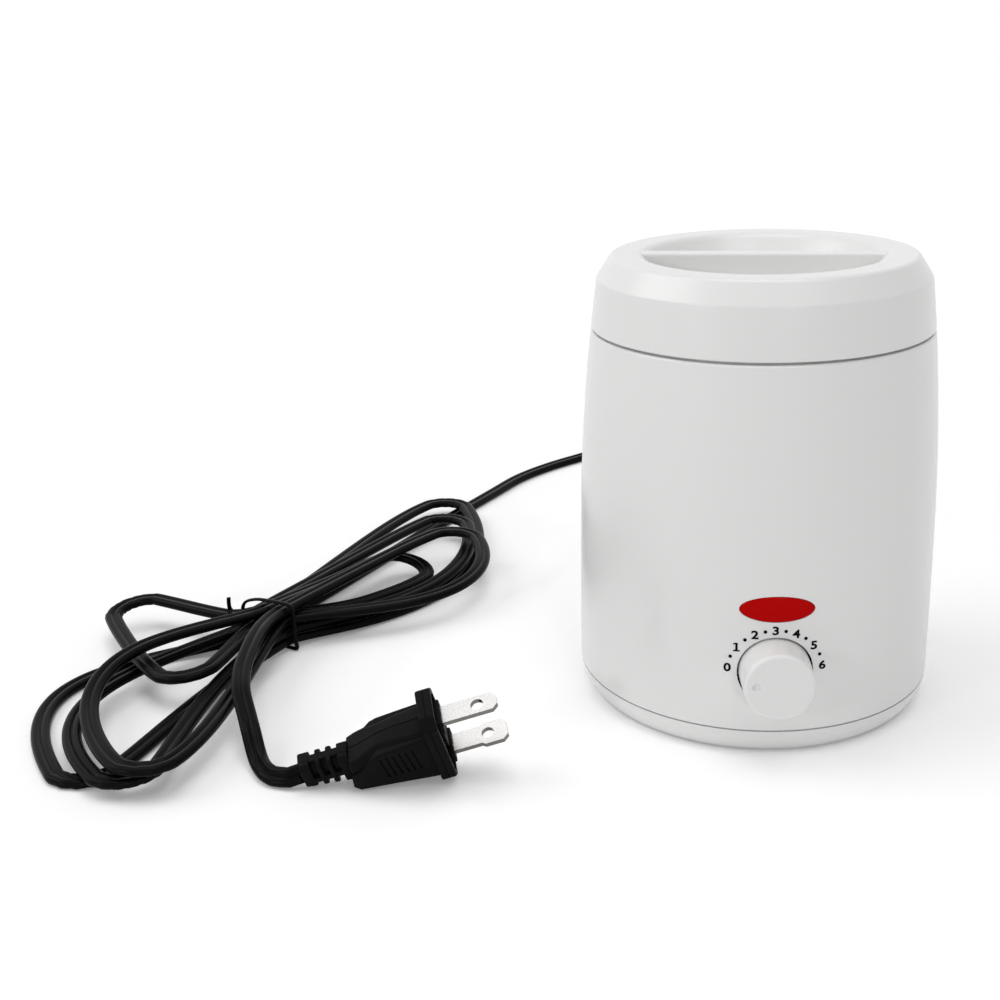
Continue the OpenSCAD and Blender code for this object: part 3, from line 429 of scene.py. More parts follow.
def in_scene(name, data):
    """A new object in the scene."""
    item = bpy.data.objects.new(name, data)
    bpy.context.scene.collection.objects.link(item)
    return item


def new_piece(name, mesh, material, smooth=True):
    piece = in_scene(name, mesh)
    mesh.materials.append(material)
    if smooth:
        mesh.shade_smooth()
    return piece


def mesh_from(name, vertices, faces):
    """A mesh in metres from vertices in mm."""
    mesh = bpy.data.meshes.new(name)
    mesh.from_pydata([Vector(v) * MM for v in vertices], [], faces)
    mesh.update()
    return mesh


def draft(vertices, faces):
    """A closed shell in mm, on an object that is only worked on and never kept."""
    mesh = bpy.data.meshes.new("draft")
    mesh.from_pydata(vertices, [], faces)
    work = bmesh.new()
    work.from_mesh(mesh)
    bmesh.ops.recalc_face_normals(work, faces=work.faces)
    work.to_mesh(mesh)
    work.free()
    return in_scene("draft", mesh)


def mesh_as_seen(item):
    """The mesh that an object shows with its modifiers, or that a text shows."""
    return bpy.data.meshes.new_from_object(item.evaluated_get(bpy.context.evaluated_depsgraph_get()))


def bake_modifiers(shell):
    mesh = mesh_as_seen(shell)
    shell.modifiers.clear()
    shell.data = mesh


def bevelled(shell, width, segments=2):
    """Rounds the edges that are sharper than SHARP."""
    rounding = shell.modifiers.new("rounding", "BEVEL")
    rounding.width = width
    rounding.segments = segments
    rounding.limit_method = "ANGLE"
    rounding.angle_limit = SHARP
    bake_modifiers(shell)
    return shell


def cut(shell, cutter):
    """Takes the cutter away from the shell."""
    cutting = shell.modifiers.new("cutting", "BOOLEAN")
    cutting.operation = "DIFFERENCE"
    cutting.solver = "EXACT"
    cutting.object = cutter
    bake_modifiers(shell)
    bpy.data.objects.remove(cutter)
    return shell


def joined(name, shells, matrix, material, angle=32):
    """One piece in metres from shells in mm, placed by the matrix."""
    work = bmesh.new()
    for shell in shells:
        work.from_mesh(shell.data)
        bpy.data.objects.remove(shell)
    mesh = bpy.data.meshes.new(name)
    work.to_mesh(mesh)
    work.free()
    mesh.materials.clear()
    for face in mesh.polygons:
        face.material_index = 0
    mesh.transform(Matrix.Scale(MM, 4) @ matrix)
    piece = new_piece(name, mesh, material)
    mesh.set_sharp_from_angle(angle=math.radians(angle))
    return piece


def box(low, high):
    """A block between two corners."""
    x, y, z = zip(low, high)
    corners = [(x[i], y[j], z[k]) for i in (0, 1) for j in (0, 1) for k in (0, 1)]
    faces = [(0, 1, 3, 2), (4, 6, 7, 5), (0, 4, 5, 1), (2, 3, 7, 6), (0, 2, 6, 4), (1, 5, 7, 3)]
    return draft(corners, faces)


# Geometry nodes: what repeats

DOT_SIDES = 24


def repeat_tree(name, inputs, build):
    """A tree that puts what build makes on points, and ends in Realize Instances and Set Material."""
    tree = bpy.data.node_groups.new(name, "GeometryNodeTree")
    tree.interface.new_socket("Geometry", in_out="INPUT", socket_type="NodeSocketGeometry")
    for label, kind, value in inputs:
        socket = tree.interface.new_socket(label, in_out="INPUT", socket_type=kind)
        socket.default_value = value
    tree.interface.new_socket("Finish", in_out="INPUT", socket_type="NodeSocketMaterial")
    tree.interface.new_socket("Geometry", in_out="OUTPUT", socket_type="NodeSocketGeometry")
    given = tree.nodes.new("NodeGroupInput")
    place = tree.nodes.new("GeometryNodeInstanceOnPoints")
    real = tree.nodes.new("GeometryNodeRealizeInstances")
    finish = tree.nodes.new("GeometryNodeSetMaterial")
    tree.links.new(given.outputs["Geometry"], place.inputs["Points"])
    tree.links.new(build(tree, given), place.inputs["Instance"])
    tree.links.new(place.outputs["Instances"], real.inputs["Geometry"])
    tree.links.new(real.outputs["Geometry"], finish.inputs["Geometry"])
    tree.links.new(given.outputs["Finish"], finish.inputs["Material"])
    tree.links.new(finish.outputs["Geometry"], tree.nodes.new("NodeGroupOutput").inputs["Geometry"])
    return tree


def grown(tree, points, material, **values):
    """The tree's copies on the points, in mm, as a plain mesh."""
    values["Finish"] = material
    shell = draft(points, [])
    modifier = shell.modifiers.new("repeat", "NODES")
    modifier.node_group = tree
    for item in tree.interface.items_tree:
        if item.in_out == "INPUT" and item.name in values:
            modifier[item.identifier] = values[item.name]
    bake_modifiers(shell)
    return shell


@made_once("node_groups", "blocks on points")
def blocks_on_points(name):
    """A like block on each point."""
    def build(tree, given):
        block = tree.nodes.new("GeometryNodeMeshCube")
        tree.links.new(given.outputs["Size"], block.inputs["Size"])
        return block.outputs["Mesh"]
    return repeat_tree(name, [("Size", "NodeSocketVector", (1.0, 1.0, 1.0))], build)


@made_once("node_groups", "dots on points")
def dots_on_points(name):
    """A flat round dot on each point."""
    def build(tree, given):
        dot = tree.nodes.new("GeometryNodeMeshCylinder")
        dot.inputs["Vertices"].default_value = DOT_SIDES
        tree.links.new(given.outputs["Radius"], dot.inputs["Radius"])
        tree.links.new(given.outputs["Thickness"], dot.inputs["Depth"])
        return dot.outputs["Mesh"]
    inputs = [("Radius", "NodeSocketFloat", 0.5), ("Thickness", "NodeSocketFloat", 0.1)]
    return repeat_tree(name, inputs, build)


def band(a, b, sides):
    """Faces between two rings whose first vertices are a and b."""
    return [(a + j, a + (j + 1) % sides, b + (j + 1) % sides, b + j) for j in range(sides)]


def closed_tube(rings):
    """Vertices and faces of a tube through rings of as many points, with flat ends."""
    sides = len(rings[0])
    last = (len(rings) - 1) * sides
    faces = [face for a in range(0, last, sides) for face in band(a, a + sides, sides)]
    faces.append(tuple(reversed(range(sides))))
    faces.append(tuple(range(last, last + sides)))
    return [point for ring in rings for point in ring], faces


def tube(rings):
    """A closed tube through the rings, as a shell."""
    return draft(*closed_tube(rings))


def closed_loop(rings):
    """Vertices and faces of a tube that comes back to its first ring."""
    sides = len(rings[0])
    count = len(rings) * sides
    faces = [face for a in range(0, count, sides) for face in band(a, (a + sides) % count, sides)]
    return [point for ring in rings for point in ring], faces


# The lead, in mm: its route repeats the CAD source's points, and its tight bends are then eased

# The hank's middle on the table, and its axes along and across
HANK_AT = Vector((-167, 24, 0))
HANK_HEADING = math.radians(62)
HANK_U = Vector((math.cos(HANK_HEADING), math.sin(HANK_HEADING), 0))
HANK_V = Vector((-math.sin(HANK_HEADING), math.cos(HANK_HEADING), 0))
# Where each pass goes through the tie: across, height
WAIST = ((7, 3.2), (-7, 3.2), (7, 7), (-7, 7), (7, 10.6), (0.3, 10.2), (0.3, 14), (-7, 10.9), (-6.8, 14.7))
# Each loop: reach, shift and turn of its tip, straight run out and back, roundness before and after the tip,
# heights on the way out, at the tip and on the way back
LOOPS = (
    (102, -2, 28, 15, 80, 92, 34, 1.6, 1.6, 1.6),
    (142, 6, 44, 15, 15, 104, 52, 1.6, 5.2, 5.6),
    (102, -20, 20, 15, 66, 74, 42, 5.6, 5.2, 5.4),
    (127, 0, 42, 15, 15, 86, 14, 6, 8.8, 9.6),
    (30, 42, 32, 14, 30, 74, 100, 10.6, 9, 11.4),
    (90, -11, 42, 15, 15, 38, 12, 5, 4, 10.6),
    (93, -13, 30, 15, 14, 72, 70, 14, 9.8, 9.4),
    (104, -19, 38, 15, 15, 84, 14, 9.8, 12.6, 13.8),
)
HANK_START = ((166, 10, 1.6), (158, 10, 1.6), (120, 10, 1.6), (80, 9, 1.6), (40, 8, 1.8), (18, 7, 2.4))
HANK_END = (
    (-8, -8.2, 15.2), (-18, -12, 15.8), (-30, -18, 15.6), (-42, -25, 14.8), (-52, -33, 13.6),
    (-60, -42, 10.4),
)
# Height of the lead's way out of the drum, and how far the strain relief stands out there
EXIT_Z = 20
RELIEF_OUT = 12
LEAD_BEHIND = (
    (0, 86, 17.4), (0, 99, 11.3), (0, 112, 5.4), (0, 127, 2.2), (0, 146, 1.6), (0, 168, 1.6), (1, 192, 1.6),
    (0, 214, 1.6), (-7, 235, 1.6), (-22, 248, 1.6), (-40, 244, 1.6), (-56, 231, 1.6), (-71, 217, 1.6),
    (-84, 201, 1.6),
)
# Where the tail turns towards the plug, on the table's own axes
TAIL_TURN = ((-152.5, -62, 3.6), (-148.5, -69, 3.2))
# Points made between two given ones, and round one loop
FINE = 8
LOOP_POINTS = 96
# Bends under this radius are eased. A bend is measured over so many steps each way, and each pass takes a
# share of its depth away
LEAST_BEND = 10
BEND_REACH = 4
EASING = 0.12
EASING_PASSES = 160
# The middle of the plug's face, and how the plug lies
PLUG_FACE = Vector((-96, -67, 15.4))
PLUG_HEADING = math.radians(6.4)
PLUG_TILT = math.radians(14.5)
PLUG_ROLL = math.radians(19.5)
PLUG_LENGTH = 43


def plug_direction():
    """The way the blades point."""
    level = math.cos(PLUG_TILT)
    return Vector((level * math.cos(PLUG_HEADING), level * math.sin(PLUG_HEADING), math.sin(PLUG_TILT)))


def bezier(a, b, c, d, t):
    s = 1 - t
    return a * s ** 3 + b * (3 * t * s * s) + c * (3 * t * t * s) + d * t ** 3


def ease(t):
    """A share from 0 to 1 that starts and stops gently."""
    return (1 - math.cos(math.pi * t)) / 2


def eased_between(values, q):
    """The value at place q of a row of values."""
    i = min(int(q), len(values) - 2)
    f = ease(q - i)
    return values[i] * (1 - f) + values[i + 1] * f


def loop_point(k, t):
    """Point of loop k at share t of its way: two curves that meet at its tip."""
    reach, shift, turn, out, back, round_out, round_back, z_out, z_tip, z_back = LOOPS[k]
    way = -1 if k % 2 == 0 else 1
    start = Vector((0, WAIST[k][0]))
    end = Vector((0, WAIST[k + 1][0]))
    tip = Vector((way * reach, shift))
    heading = Vector((math.sin(math.radians(turn)), math.cos(math.radians(turn)))) * way
    if t <= 0.5:
        plan = bezier(start, start + Vector((way * out, 0)), tip - heading * round_out, tip, 2 * t)
    else:
        plan = bezier(tip, tip + heading * round_back, end + Vector((way * back, 0)), end, 2 * t - 1)
    heights = (WAIST[k][1], z_out, z_tip, z_back, WAIST[k + 1][1])
    return Vector((plan[0], plan[1], eased_between(heights, 4 * t)))


def curve(a, b, c, d, t):
    """Point at share t from b to c of the curve through four points."""
    square = (2 * a - 5 * b + 4 * c - d) * t * t
    cube = (3 * b - a - 3 * c + d) * t ** 3
    return 0.5 * (2 * b + (c - a) * t + square + cube)


def curved_run(points, steps):
    """So many points from each given one to the next, from the second to the last but one."""
    fours = zip(points, points[1:], points[2:], points[3:])
    return [curve(*four, i / steps) for four in fours for i in range(steps)]


def smooth(points, steps):
    """An open run through the points."""
    points = [Vector(p) for p in points]
    before, after = 2 * points[0] - points[1], 2 * points[-1] - points[-2]
    return curved_run([before, *points, after], steps) + [points[-1]]


def closed_smooth(points, steps):
    """A run through the points that comes back to the first."""
    points = [Vector(p) for p in points]
    return curved_run([points[-1], *points, points[0], points[1]], steps)


def heading_at(points, i):
    """The way that an open run goes at its point i."""
    return (points[min(i + 1, len(points) - 1)] - points[max(i - 1, 0)]).normalized()


def from_hank(along, across, z):
    """The place of a point that is given on the hank's axes."""
    place = HANK_AT + HANK_U * along + HANK_V * across
    return Vector((place.x, place.y, z))


def exit_y():
    """How far behind the drum's axis the lead leaves its strain relief."""
    return drum_r(EXIT_Z) + RELIEF_OUT


def lead_route():
    """Points of the whole lead and the share of the tail's twist at each, in mm."""
    hank = smooth([*HANK_START, (0, *WAIST[0])], FINE)[:-1]
    for k in range(len(LOOPS)):
        hank += [loop_point(k, i / LOOP_POINTS) for i in range(LOOP_POINTS)]
    hank += smooth([(0, *WAIST[-1]), *HANK_END], FINE)
    hank = [from_hank(*p) for p in hank]
    first, last = hank[0], hank[-1]
    in_way = (hank[1] - hank[0]).normalized()
    out_way = (hank[-1] - hank[-2]).normalized()
    out = [(0, exit_y(), EXIT_Z), (0, exit_y() + 6, EXIT_Z - 0.1)]
    behind = smooth([*out, *LEAD_BEHIND, first - in_way * 8, first], FINE)
    entry = PLUG_FACE - plug_direction() * PLUG_LENGTH
    tail = smooth([last, last + out_way * 6, *TAIL_TURN, entry - plug_direction() * 7, entry], FINE)
    route = behind[:-1] + hank[:-1] + tail
    twist = [0.0] * (len(route) - len(tail)) + [ease(i / (len(tail) - 1)) for i in range(len(tail))]
    return route, twist


def evenly(points, values, step):
    """The route again at even steps, with its values, and its length."""
    reached = [0.0]
    for a, b in zip(points, points[1:]):
        reached.append(reached[-1] + (b - a).length)
    count = round(reached[-1] / step)
    made, carried, i = [], [], 0
    for n in range(count + 1):
        want = reached[-1] * n / count
        while i < len(points) - 2 and reached[i + 1] < want:
            i += 1
        f = (want - reached[i]) / max(1e-9, reached[i + 1] - reached[i])
        made.append(points[i].lerp(points[i + 1], f))
        carried.append(values[i] * (1 - f) + values[i + 1] * f)
    return made, carried, reached[-1]


def bend_radius(a, b, c):
    """Radius of the circle through three points."""
    area = (b - a).cross(c - a).length / 2
    return (b - a).length * (c - b).length * (c - a).length / max(4 * area, 1e-9)


def relaxed(points):
    """The route with its tight bends eased, as a stiff lead would lie."""
    for _ in range(EASING_PASSES):
        eased = []
        for i in range(BEND_REACH, len(points) - BEND_REACH):
            a, c = points[i - BEND_REACH], points[i + BEND_REACH]
            if bend_radius(a, points[i], c) < LEAST_BEND:
                eased.append((i, points[i].lerp((a + c) / 2, EASING)))
        for i, point in eased:
            points[i] = point
    return points


def lead_outline():
    """Outline of the flat two-core lead: two round edges and a shallow groove along each face."""
    s = lead()
    half_w, half_t = s.width / 2, s.thickness / 2
    quarter = []
    for i in range(6):
        a = math.radians(18 * i)
        quarter.append((half_w - half_t * 0.95 + half_t * 0.95 * math.cos(a), half_t * math.sin(a)))
    quarter += [(0.55, half_t * 0.97), (0.18, half_t - s.groove)]
    right = quarter + [(0, half_t - s.groove * 1.12)] + [(-x, y) for x, y in reversed(quarter)]
    return right + [(x, -y) for x, y in reversed(right[1:-1])]


def build_lead():
    """The lead, the points that it follows and its length."""
    route, twist = lead_route()
    points, twist, _ = evenly(route, twist, lead().step)
    points, twist, length = evenly(relaxed(points), twist, lead().step)
    outline = lead_outline()
    turn = math.pi / 2 - PLUG_ROLL
    rings = []
    for i, point in enumerate(points):
        ahead = heading_at(points, i)
        level = Vector((0, 0, 1)).cross(ahead).normalized()
        up = ahead.cross(level)
        a = turn * twist[i]
        across = level * math.cos(a) + up * math.sin(a)
        rise = up * math.cos(a) - level * math.sin(a)
        rings.append([point + across * x + rise * y for x, y in outline])
    piece = new_piece("lead", mesh_from("lead", *closed_tube(rings)), black_plastic())
    return piece, points, length


# Plug

def plug_matrix():
    """From the plug's drawing to its place."""
    return (
        Matrix.Translation(PLUG_FACE)
        @ Matrix.Rotation(PLUG_HEADING, 4, "Z")
        @ Matrix.Rotation(-PLUG_TILT, 4, "Y")
        @ Matrix.Rotation(PLUG_ROLL, 4, "X")
        @ Matrix.Rotation(math.pi / 2, 4, "Y")
    )


# In the plug's drawing the blades point along z from its face, and its upper side faces -x.
# Each section of the body: z, then in x its ridge, corner and bottom, and in y its corner and side
BODY_SECTIONS = (
    (-4.4, -8.8, -8.0, 11.6, 5.3, 6.9),
    (-8.0, -8.4, -7.8, 11.2, 5.2, 6.9),
    (-13.0, -8.3, -7.5, 10.2, 4.7, 6.8),
    (-17.7, -7.5, -7.1, 9.4, 3.9, 6.6),
    (-20.0, -6.8, -6.7, 9.1, 4.0, 6.5),
    (-22.5, -5.8, -6.0, 8.6, 4.9, 6.4),
    (-25.6, -4.9, -4.8, 7.8, 5.4, 6.3),
    (-28.4, -4.7, -3.8, 6.6, 5.2, 5.9),
)
# Outline of the raised panel on each side: along z, then x
PANEL = (
    (-4.4, -7.1), (-12.0, -6.6), (-18.4, -6.1), (-20.6, -5.4), (-22.6, -3.8), (-25.0, -1.4), (-27.0, -0.2),
    (-28.6, 0.4), (-29.2, 4.4), (-27.6, 6.2), (-22.0, 7.0), (-4.4, 9.8),
)
PANEL_OUT = 7.3
GRIP_GROOVES = 6
# Length and depth of a grip groove
GROOVE_SIZE = (8.4, 0.9)
GROOVES_FROM = -18.6
GROOVES_LEAN = math.radians(-5)
# The strain relief: where it starts to widen and over what length, and where each rib starts and ends along z
WIDENS_FROM, WIDENS_OVER = -43, 15
RELIEF_RIBS = ((-42.8, -39.5), (-37.7, -36.2), (-34.5, -33.0), (-31.2, -28.0))
RELIEF_FROM, RELIEF_TO = -41.5, -28
# Its spines above and below and its web: lowest and highest corner in x and y
RELIEF_BARS = (((-5.15, -1.3), (-4.0, 1.3)), ((3.0, -1.3), (4.6, 1.3)), ((0.3, -3.45), (1.9, 3.45)))
# How far its core lies inside the ribs
CORE_IN = 1.3
# Where the moulding's parting line runs round the flange, along z
PARTING_LINE = (-2.5, -2.1)


def body_ring(z, ridge, corner, bottom, corner_y, side_y):
    """Section of the plug's body."""
    half = [(ridge, 0), (corner, corner_y), (corner + 2.4, side_y)]
    half += [(bottom - 2, side_y), (bottom, side_y - 2), (bottom, 0)]
    return [(x, y, z) for x, y in half + [(x, -y) for x, y in reversed(half[1:-1])]]


def relief_ring(z, shrink=0.0):
    """Section of the plug's strain relief: it widens towards the plug."""
    share = (z - WIDENS_FROM) / WIDENS_OVER
    top, bottom, side = -5.6 + 0.7 * share + shrink, 3.9 + 1.9 * share - shrink, 3.4 + 0.5 * share - shrink
    half = [(top, side - 1.2), (top + 1.2, side), (bottom - 1.2, side), (bottom, side - 1.2)]
    return [(x, y, z) for x, y in half + [(x, -y) for x, y in reversed(half)]]


def build_relief():
    """Ribs on a core, tied by a spine above and below and a web along each side."""
    shells = [tube([relief_ring(-42, CORE_IN), relief_ring(RELIEF_TO, CORE_IN)])]
    for start, end in RELIEF_RIBS:
        shells.append(bevelled(tube([relief_ring(start), relief_ring(end)]), 0.45, 3))
    for low, high in RELIEF_BARS:
        shells.append(bevelled(box((*low, RELIEF_FROM), (*high, RELIEF_TO)), 0.25))
    return shells


def build_panel(side):
    """A raised panel with its grip grooves."""
    rings = [[(x, side * y, z) for z, x in PANEL] for y in (4.5, PANEL_OUT)]
    panel = bevelled(tube(rings), 0.5, 3)
    s = plug()
    row = [(0.16 * i, 0, s.groove_step * i) for i in range(GRIP_GROOVES)]
    grooves = grown(blocks_on_points(), row, matt_black_plastic(), Size=(*GROOVE_SIZE, s.groove_w))
    place = Matrix.Translation((0.0, side * PANEL_OUT, GROOVES_FROM))
    grooves.data.transform(place @ Matrix.Rotation(GROOVES_LEAN, 4, "Y"))
    return cut(panel, grooves)


def octagon(half_h, half_w, corner, z):
    """An outline with cut corners."""
    quarter = [(half_h - corner, half_w), (half_h, half_w - corner)]
    right = quarter + [(x, -y) for x, y in reversed(quarter)]
    return [(x, y, z) for x, y in right + [(-x, y) for x, y in reversed(right)]]


def build_flange():
    """The flange with a shallow recess in its face, and the raised seats of the blades."""
    s = plug()
    outer = [octagon(s.flange_half_h, s.flange_half_w, s.flange_cut, z) for z in (-s.flange_t, -0.1)]
    flange = bevelled(tube(outer), 0.55, 3)
    half_h, half_w, corner = s.flange_half_h - 1.6, s.flange_half_w - 1.6, s.flange_cut - 0.6
    recess = [octagon(half_h, half_w, corner, z) for z in (-0.9, 1.0)]
    cut(flange, tube(recess))
    low, high = PARTING_LINE
    for side in (-1, 1):
        x, y = side * s.flange_half_h, side * s.flange_half_w
        cut(flange, box((-s.flange_half_h - 1, y - 0.3, low), (s.flange_half_h + 1, y + 0.3, high)))
        cut(flange, box((x - 0.35, -9, low), (x + 0.35, 9, high)))
    shells = [flange, bevelled(box((-3.6, -3.4, -1.2), (3.6, 3.4, 0.35)), 0.3)]
    for side in (-1, 1):
        x = side * s.pitch / 2
        shells.append(bevelled(box((x - 2.5, -4.7, -1.2), (x + 2.5, 4.7, 1.15)), 0.3))
    return shells


def build_plug():
    """The plug's body with a seam along its ridge, its flange, its strain relief and its panels."""
    body = bevelled(tube([body_ring(*section) for section in BODY_SECTIONS]), 0.7, 3)
    seam = []
    for z, ridge, *_ in BODY_SECTIONS:
        low, high = ridge - 1, ridge + 0.35
        seam.append([(low, -0.14, z), (low, 0.14, z), (high, 0.14, z), (high, -0.14, z)])
    cut(body, tube(seam))
    shells = [body, *build_flange(), *build_relief(), build_panel(1), build_panel(-1)]
    return joined("plug", shells, plug_matrix(), matt_black_plastic())


# Dial scale and indicator

LAST_NUMBER = 6
# Degrees of the scale: where its middle number is, the step to the next, and how that step grows outwards
ARC_MIDDLE, ARC_STEP, ARC_WIDENS = 91.3, 23.7, 1.5
# Share of the font's size that a numeral's height takes, how much bolder and how much wider it is drawn
FONT_HEIGHT, FONT_BOLDER, FONT_WIDER = 0.76, 0.03, 1.2
# The lens: points round it, shares of its outline across its face, radius of its rounded edge and the
# degrees at which that has a ring
LENS_SIDES = 96
LENS_FACE = (0.04, 0.3, 0.6, 0.85)
LENS_ROUND = 0.45
LENS_EDGE = (10, 30, 50, 70, 90)
# A numeral one, with a flag and a foot, for a height of 1
NUMERAL_ONE = (
    (0, 0), (0.7, 0), (0.7, 0.16), (0.48, 0.16), (0.48, 1), (0.28, 1), (0, 0.92), (0, 0.77), (0.23, 0.82),
    (0.23, 0.16), (0, 0.16),
)


def on_scale(number):
    """Place of a number, or a half number, on the flattened arc over the dial."""
    s = sizes()
    step = LAST_NUMBER / 2 - number
    angle = math.radians(ARC_MIDDLE + ARC_STEP * step + ARC_WIDENS * step * abs(step))
    return Vector((s.scale_half_w * math.cos(angle), s.scale_half_h * math.sin(angle), 0))


def wrapped_on_drum(mesh, lift):
    """Bends a flat drawing, x across and y up from the dial's centre, on to the drum."""
    s = sizes()
    for vertex in mesh.vertices:
        across, up, out = vertex.co
        z = s.dial_z + up
        r = drum_r(z) + out + lift
        turn = across / drum_r(z)
        vertex.co = Vector((r * math.sin(turn), -r * math.cos(turn), z))


def numeral_mesh(digit):
    """A bold numeral of about the number's height."""
    s = sizes()
    if digit == 1:
        outline = [(x * s.number_h, y * s.number_h) for x, y in NUMERAL_ONE]
        shell = tube([[(x, y, z) for x, y in outline] for z in (-s.print_t, s.print_t)])
    else:
        font = bpy.data.curves.new("number", "FONT")
        font.body = str(digit)
        font.size = s.number_h / FONT_HEIGHT
        font.offset = FONT_BOLDER * font.size
        font.extrude = s.print_t
        shell = in_scene("number", font)
    mesh = mesh_as_seen(shell)
    bpy.data.objects.remove(shell)
    if digit != 1:
        mesh.transform(Matrix.Diagonal((FONT_WIDER, 1, 1, 1)))
    return mesh


def number_shell(digit):
    """One numeral with its middle at its place on the arc."""
    mesh = numeral_mesh(digit)
    xs = [v.co.x for v in mesh.vertices]
    ys = [v.co.y for v in mesh.vertices]
    middle = Vector(((max(xs) + min(xs)) / 2, (max(ys) + min(ys)) / 2, 0))
    mesh.transform(Matrix.Translation(on_scale(digit) - middle))
    return in_scene("draft", mesh)


def build_scale():
    """The printed scale: numbers 0 to 6 with a dot between each two."""
    s = sizes()
    shells = [number_shell(digit) for digit in range(LAST_NUMBER + 1)]
    between = [on_scale(i + 0.5) for i in range(LAST_NUMBER)]
    shells.append(grown(dots_on_points(), between, printed_ink(), Radius=s.dot_r, Thickness=2 * s.print_t))
    for shell in shells:
        wrapped_on_drum(shell.data, s.print_t)
    return joined("dial_scale", shells, Matrix(), printed_ink(), angle=60)


def lens_ring(depth, share=1.0, grow=0.0):
    """A ring at a share of the lens's outline, grown by so much, so far inside the drum's skin."""
    s = sizes()
    ring = []
    for i in range(LENS_SIDES):
        a = 2 * math.pi * i / LENS_SIDES
        z = s.lens_z + (s.lens_half_h * share + grow) * math.sin(a)
        x = (s.lens_half_w * share + grow) * math.cos(a)
        r = drum_r(z) - depth
        ring.append((x, -math.sqrt(r * r - x * x), z))
    return ring


def build_lens():
    """A smooth lens with a rounded edge and a lip behind the wall."""
    s = sizes()
    rings = [lens_ring(-s.lens_proud, share) for share in LENS_FACE]
    for degrees in LENS_EDGE:
        a = math.radians(degrees)
        depth = LENS_ROUND * (1 - math.cos(a)) - s.lens_proud
        rings.append(lens_ring(depth, grow=LENS_ROUND * math.sin(a) - LENS_ROUND))
    rings.append(lens_ring(s.wall))
    rings.append(lens_ring(s.wall + 0.1, grow=s.lens_lip))
    rings.append(lens_ring(s.wall + 1, grow=s.lens_lip))
    rings += [lens_ring(s.wall + 1, share) for share in (LENS_FACE[-1], LENS_FACE[0])]
    return joined("lens", [tube(rings)], Matrix(), red_lens(), angle=40)


# Twist tie, on the hank's axes

TIE_SHIFT = 0.7
TIE_SIDES = 10
# The ring round the waist: across, up
TIE_RING = (
    (-11.5, 0.75), (-9.6, 0.7), (0, 0.72), (9.4, 0.8), (11.1, 3.2), (11.3, 8), (11.8, 11.8), (9.9, 14.7),
    (5.2, 16.5), (0, 17.1), (-8.2, 17.4), (-10.9, 16.2), (-11.5, 12), (-11.3, 7), (-11.5, 3.6), (-12.0, 1.5),
)
WAIST_MIDDLE_Z = 9
# The loose end past the twist: along, across, up
TIE_END = ((0.7, 11.4, 8.6), (-0.8, 13.5, 9.2), (-2.1, 15.2, 11.8), (-2.3, 15.5, 13.8), (-1.9, 15.7, 16.2))


def tie_section(point, ahead, out):
    """A flat oval across the tie's run."""
    side = ahead.cross(out).normalized()
    rise = side.cross(ahead).normalized()
    half_w, half_t = lead().tie_width / 2, lead().tie_thickness / 2
    turns = [2 * math.pi * i / TIE_SIDES for i in range(TIE_SIDES)]
    return [point + side * half_w * math.cos(a) + rise * half_t * math.sin(a) for a in turns]


def build_tie():
    """The ring round the waist and its loose end."""
    run = [from_hank(TIE_SHIFT, across, z) for across, z in closed_smooth(TIE_RING, 6)]
    middle = from_hank(TIE_SHIFT, 0, WAIST_MIDDLE_Z)
    ring = []
    for i, point in enumerate(run):
        ahead = (run[(i + 1) % len(run)] - run[i - 1]).normalized()
        ring.append(tie_section(point, ahead, point - middle))
    run = [from_hank(*p) for p in smooth(TIE_END, 6)]
    end = []
    for i, point in enumerate(run):
        ahead = heading_at(run, i)
        end.append(tie_section(point, ahead, HANK_U.cross(ahead)))
    shells = [draft(*closed_loop(ring)), tube(end)]
    return joined("tie", shells, Matrix(), black_plastic(), angle=60)


# Stage: camera in mm and degrees, lamps and brightness

CAMERA_LENS = 49.73
CAMERA_AT = Vector((-57.03, -419.59, 211.47))
CAMERA_TURNS = ((3.34, "Z"), (70.467, "X"), (-1.908, "Z"))
# Each lamp: name, heading and height in degrees, spread in degrees, power
LAMPS = (
    ("top", 90, 84, 40, 0.8),
    ("left", 176, 42, 40, 0.8),
    ("right", -50, 66, 25, 0.3),
    ("left strip", 222, 14, 5, 0.34),
    ("front strip", -78, 14, 5, 0.26),
)
# The world's strength on the object, and where it is seen
WORLD_LIGHT, WORLD_SEEN = 0.38, 1.0
# How much the floor glows where it is seen, so that it shows white
FLOOR_GLOW = 0.14
FLOOR_HALF = 2500


# Operators

STEEL_NODES = (
    "base_screws", "well_screws", "strap_screws", "bracket_screws", "heater_strap", "thermostat_shaft",
    "thermostat_bracket", "thermostat_nut",
)
IVORY_NODES = ("thermostat", "lamp_holder", "terminal_block")


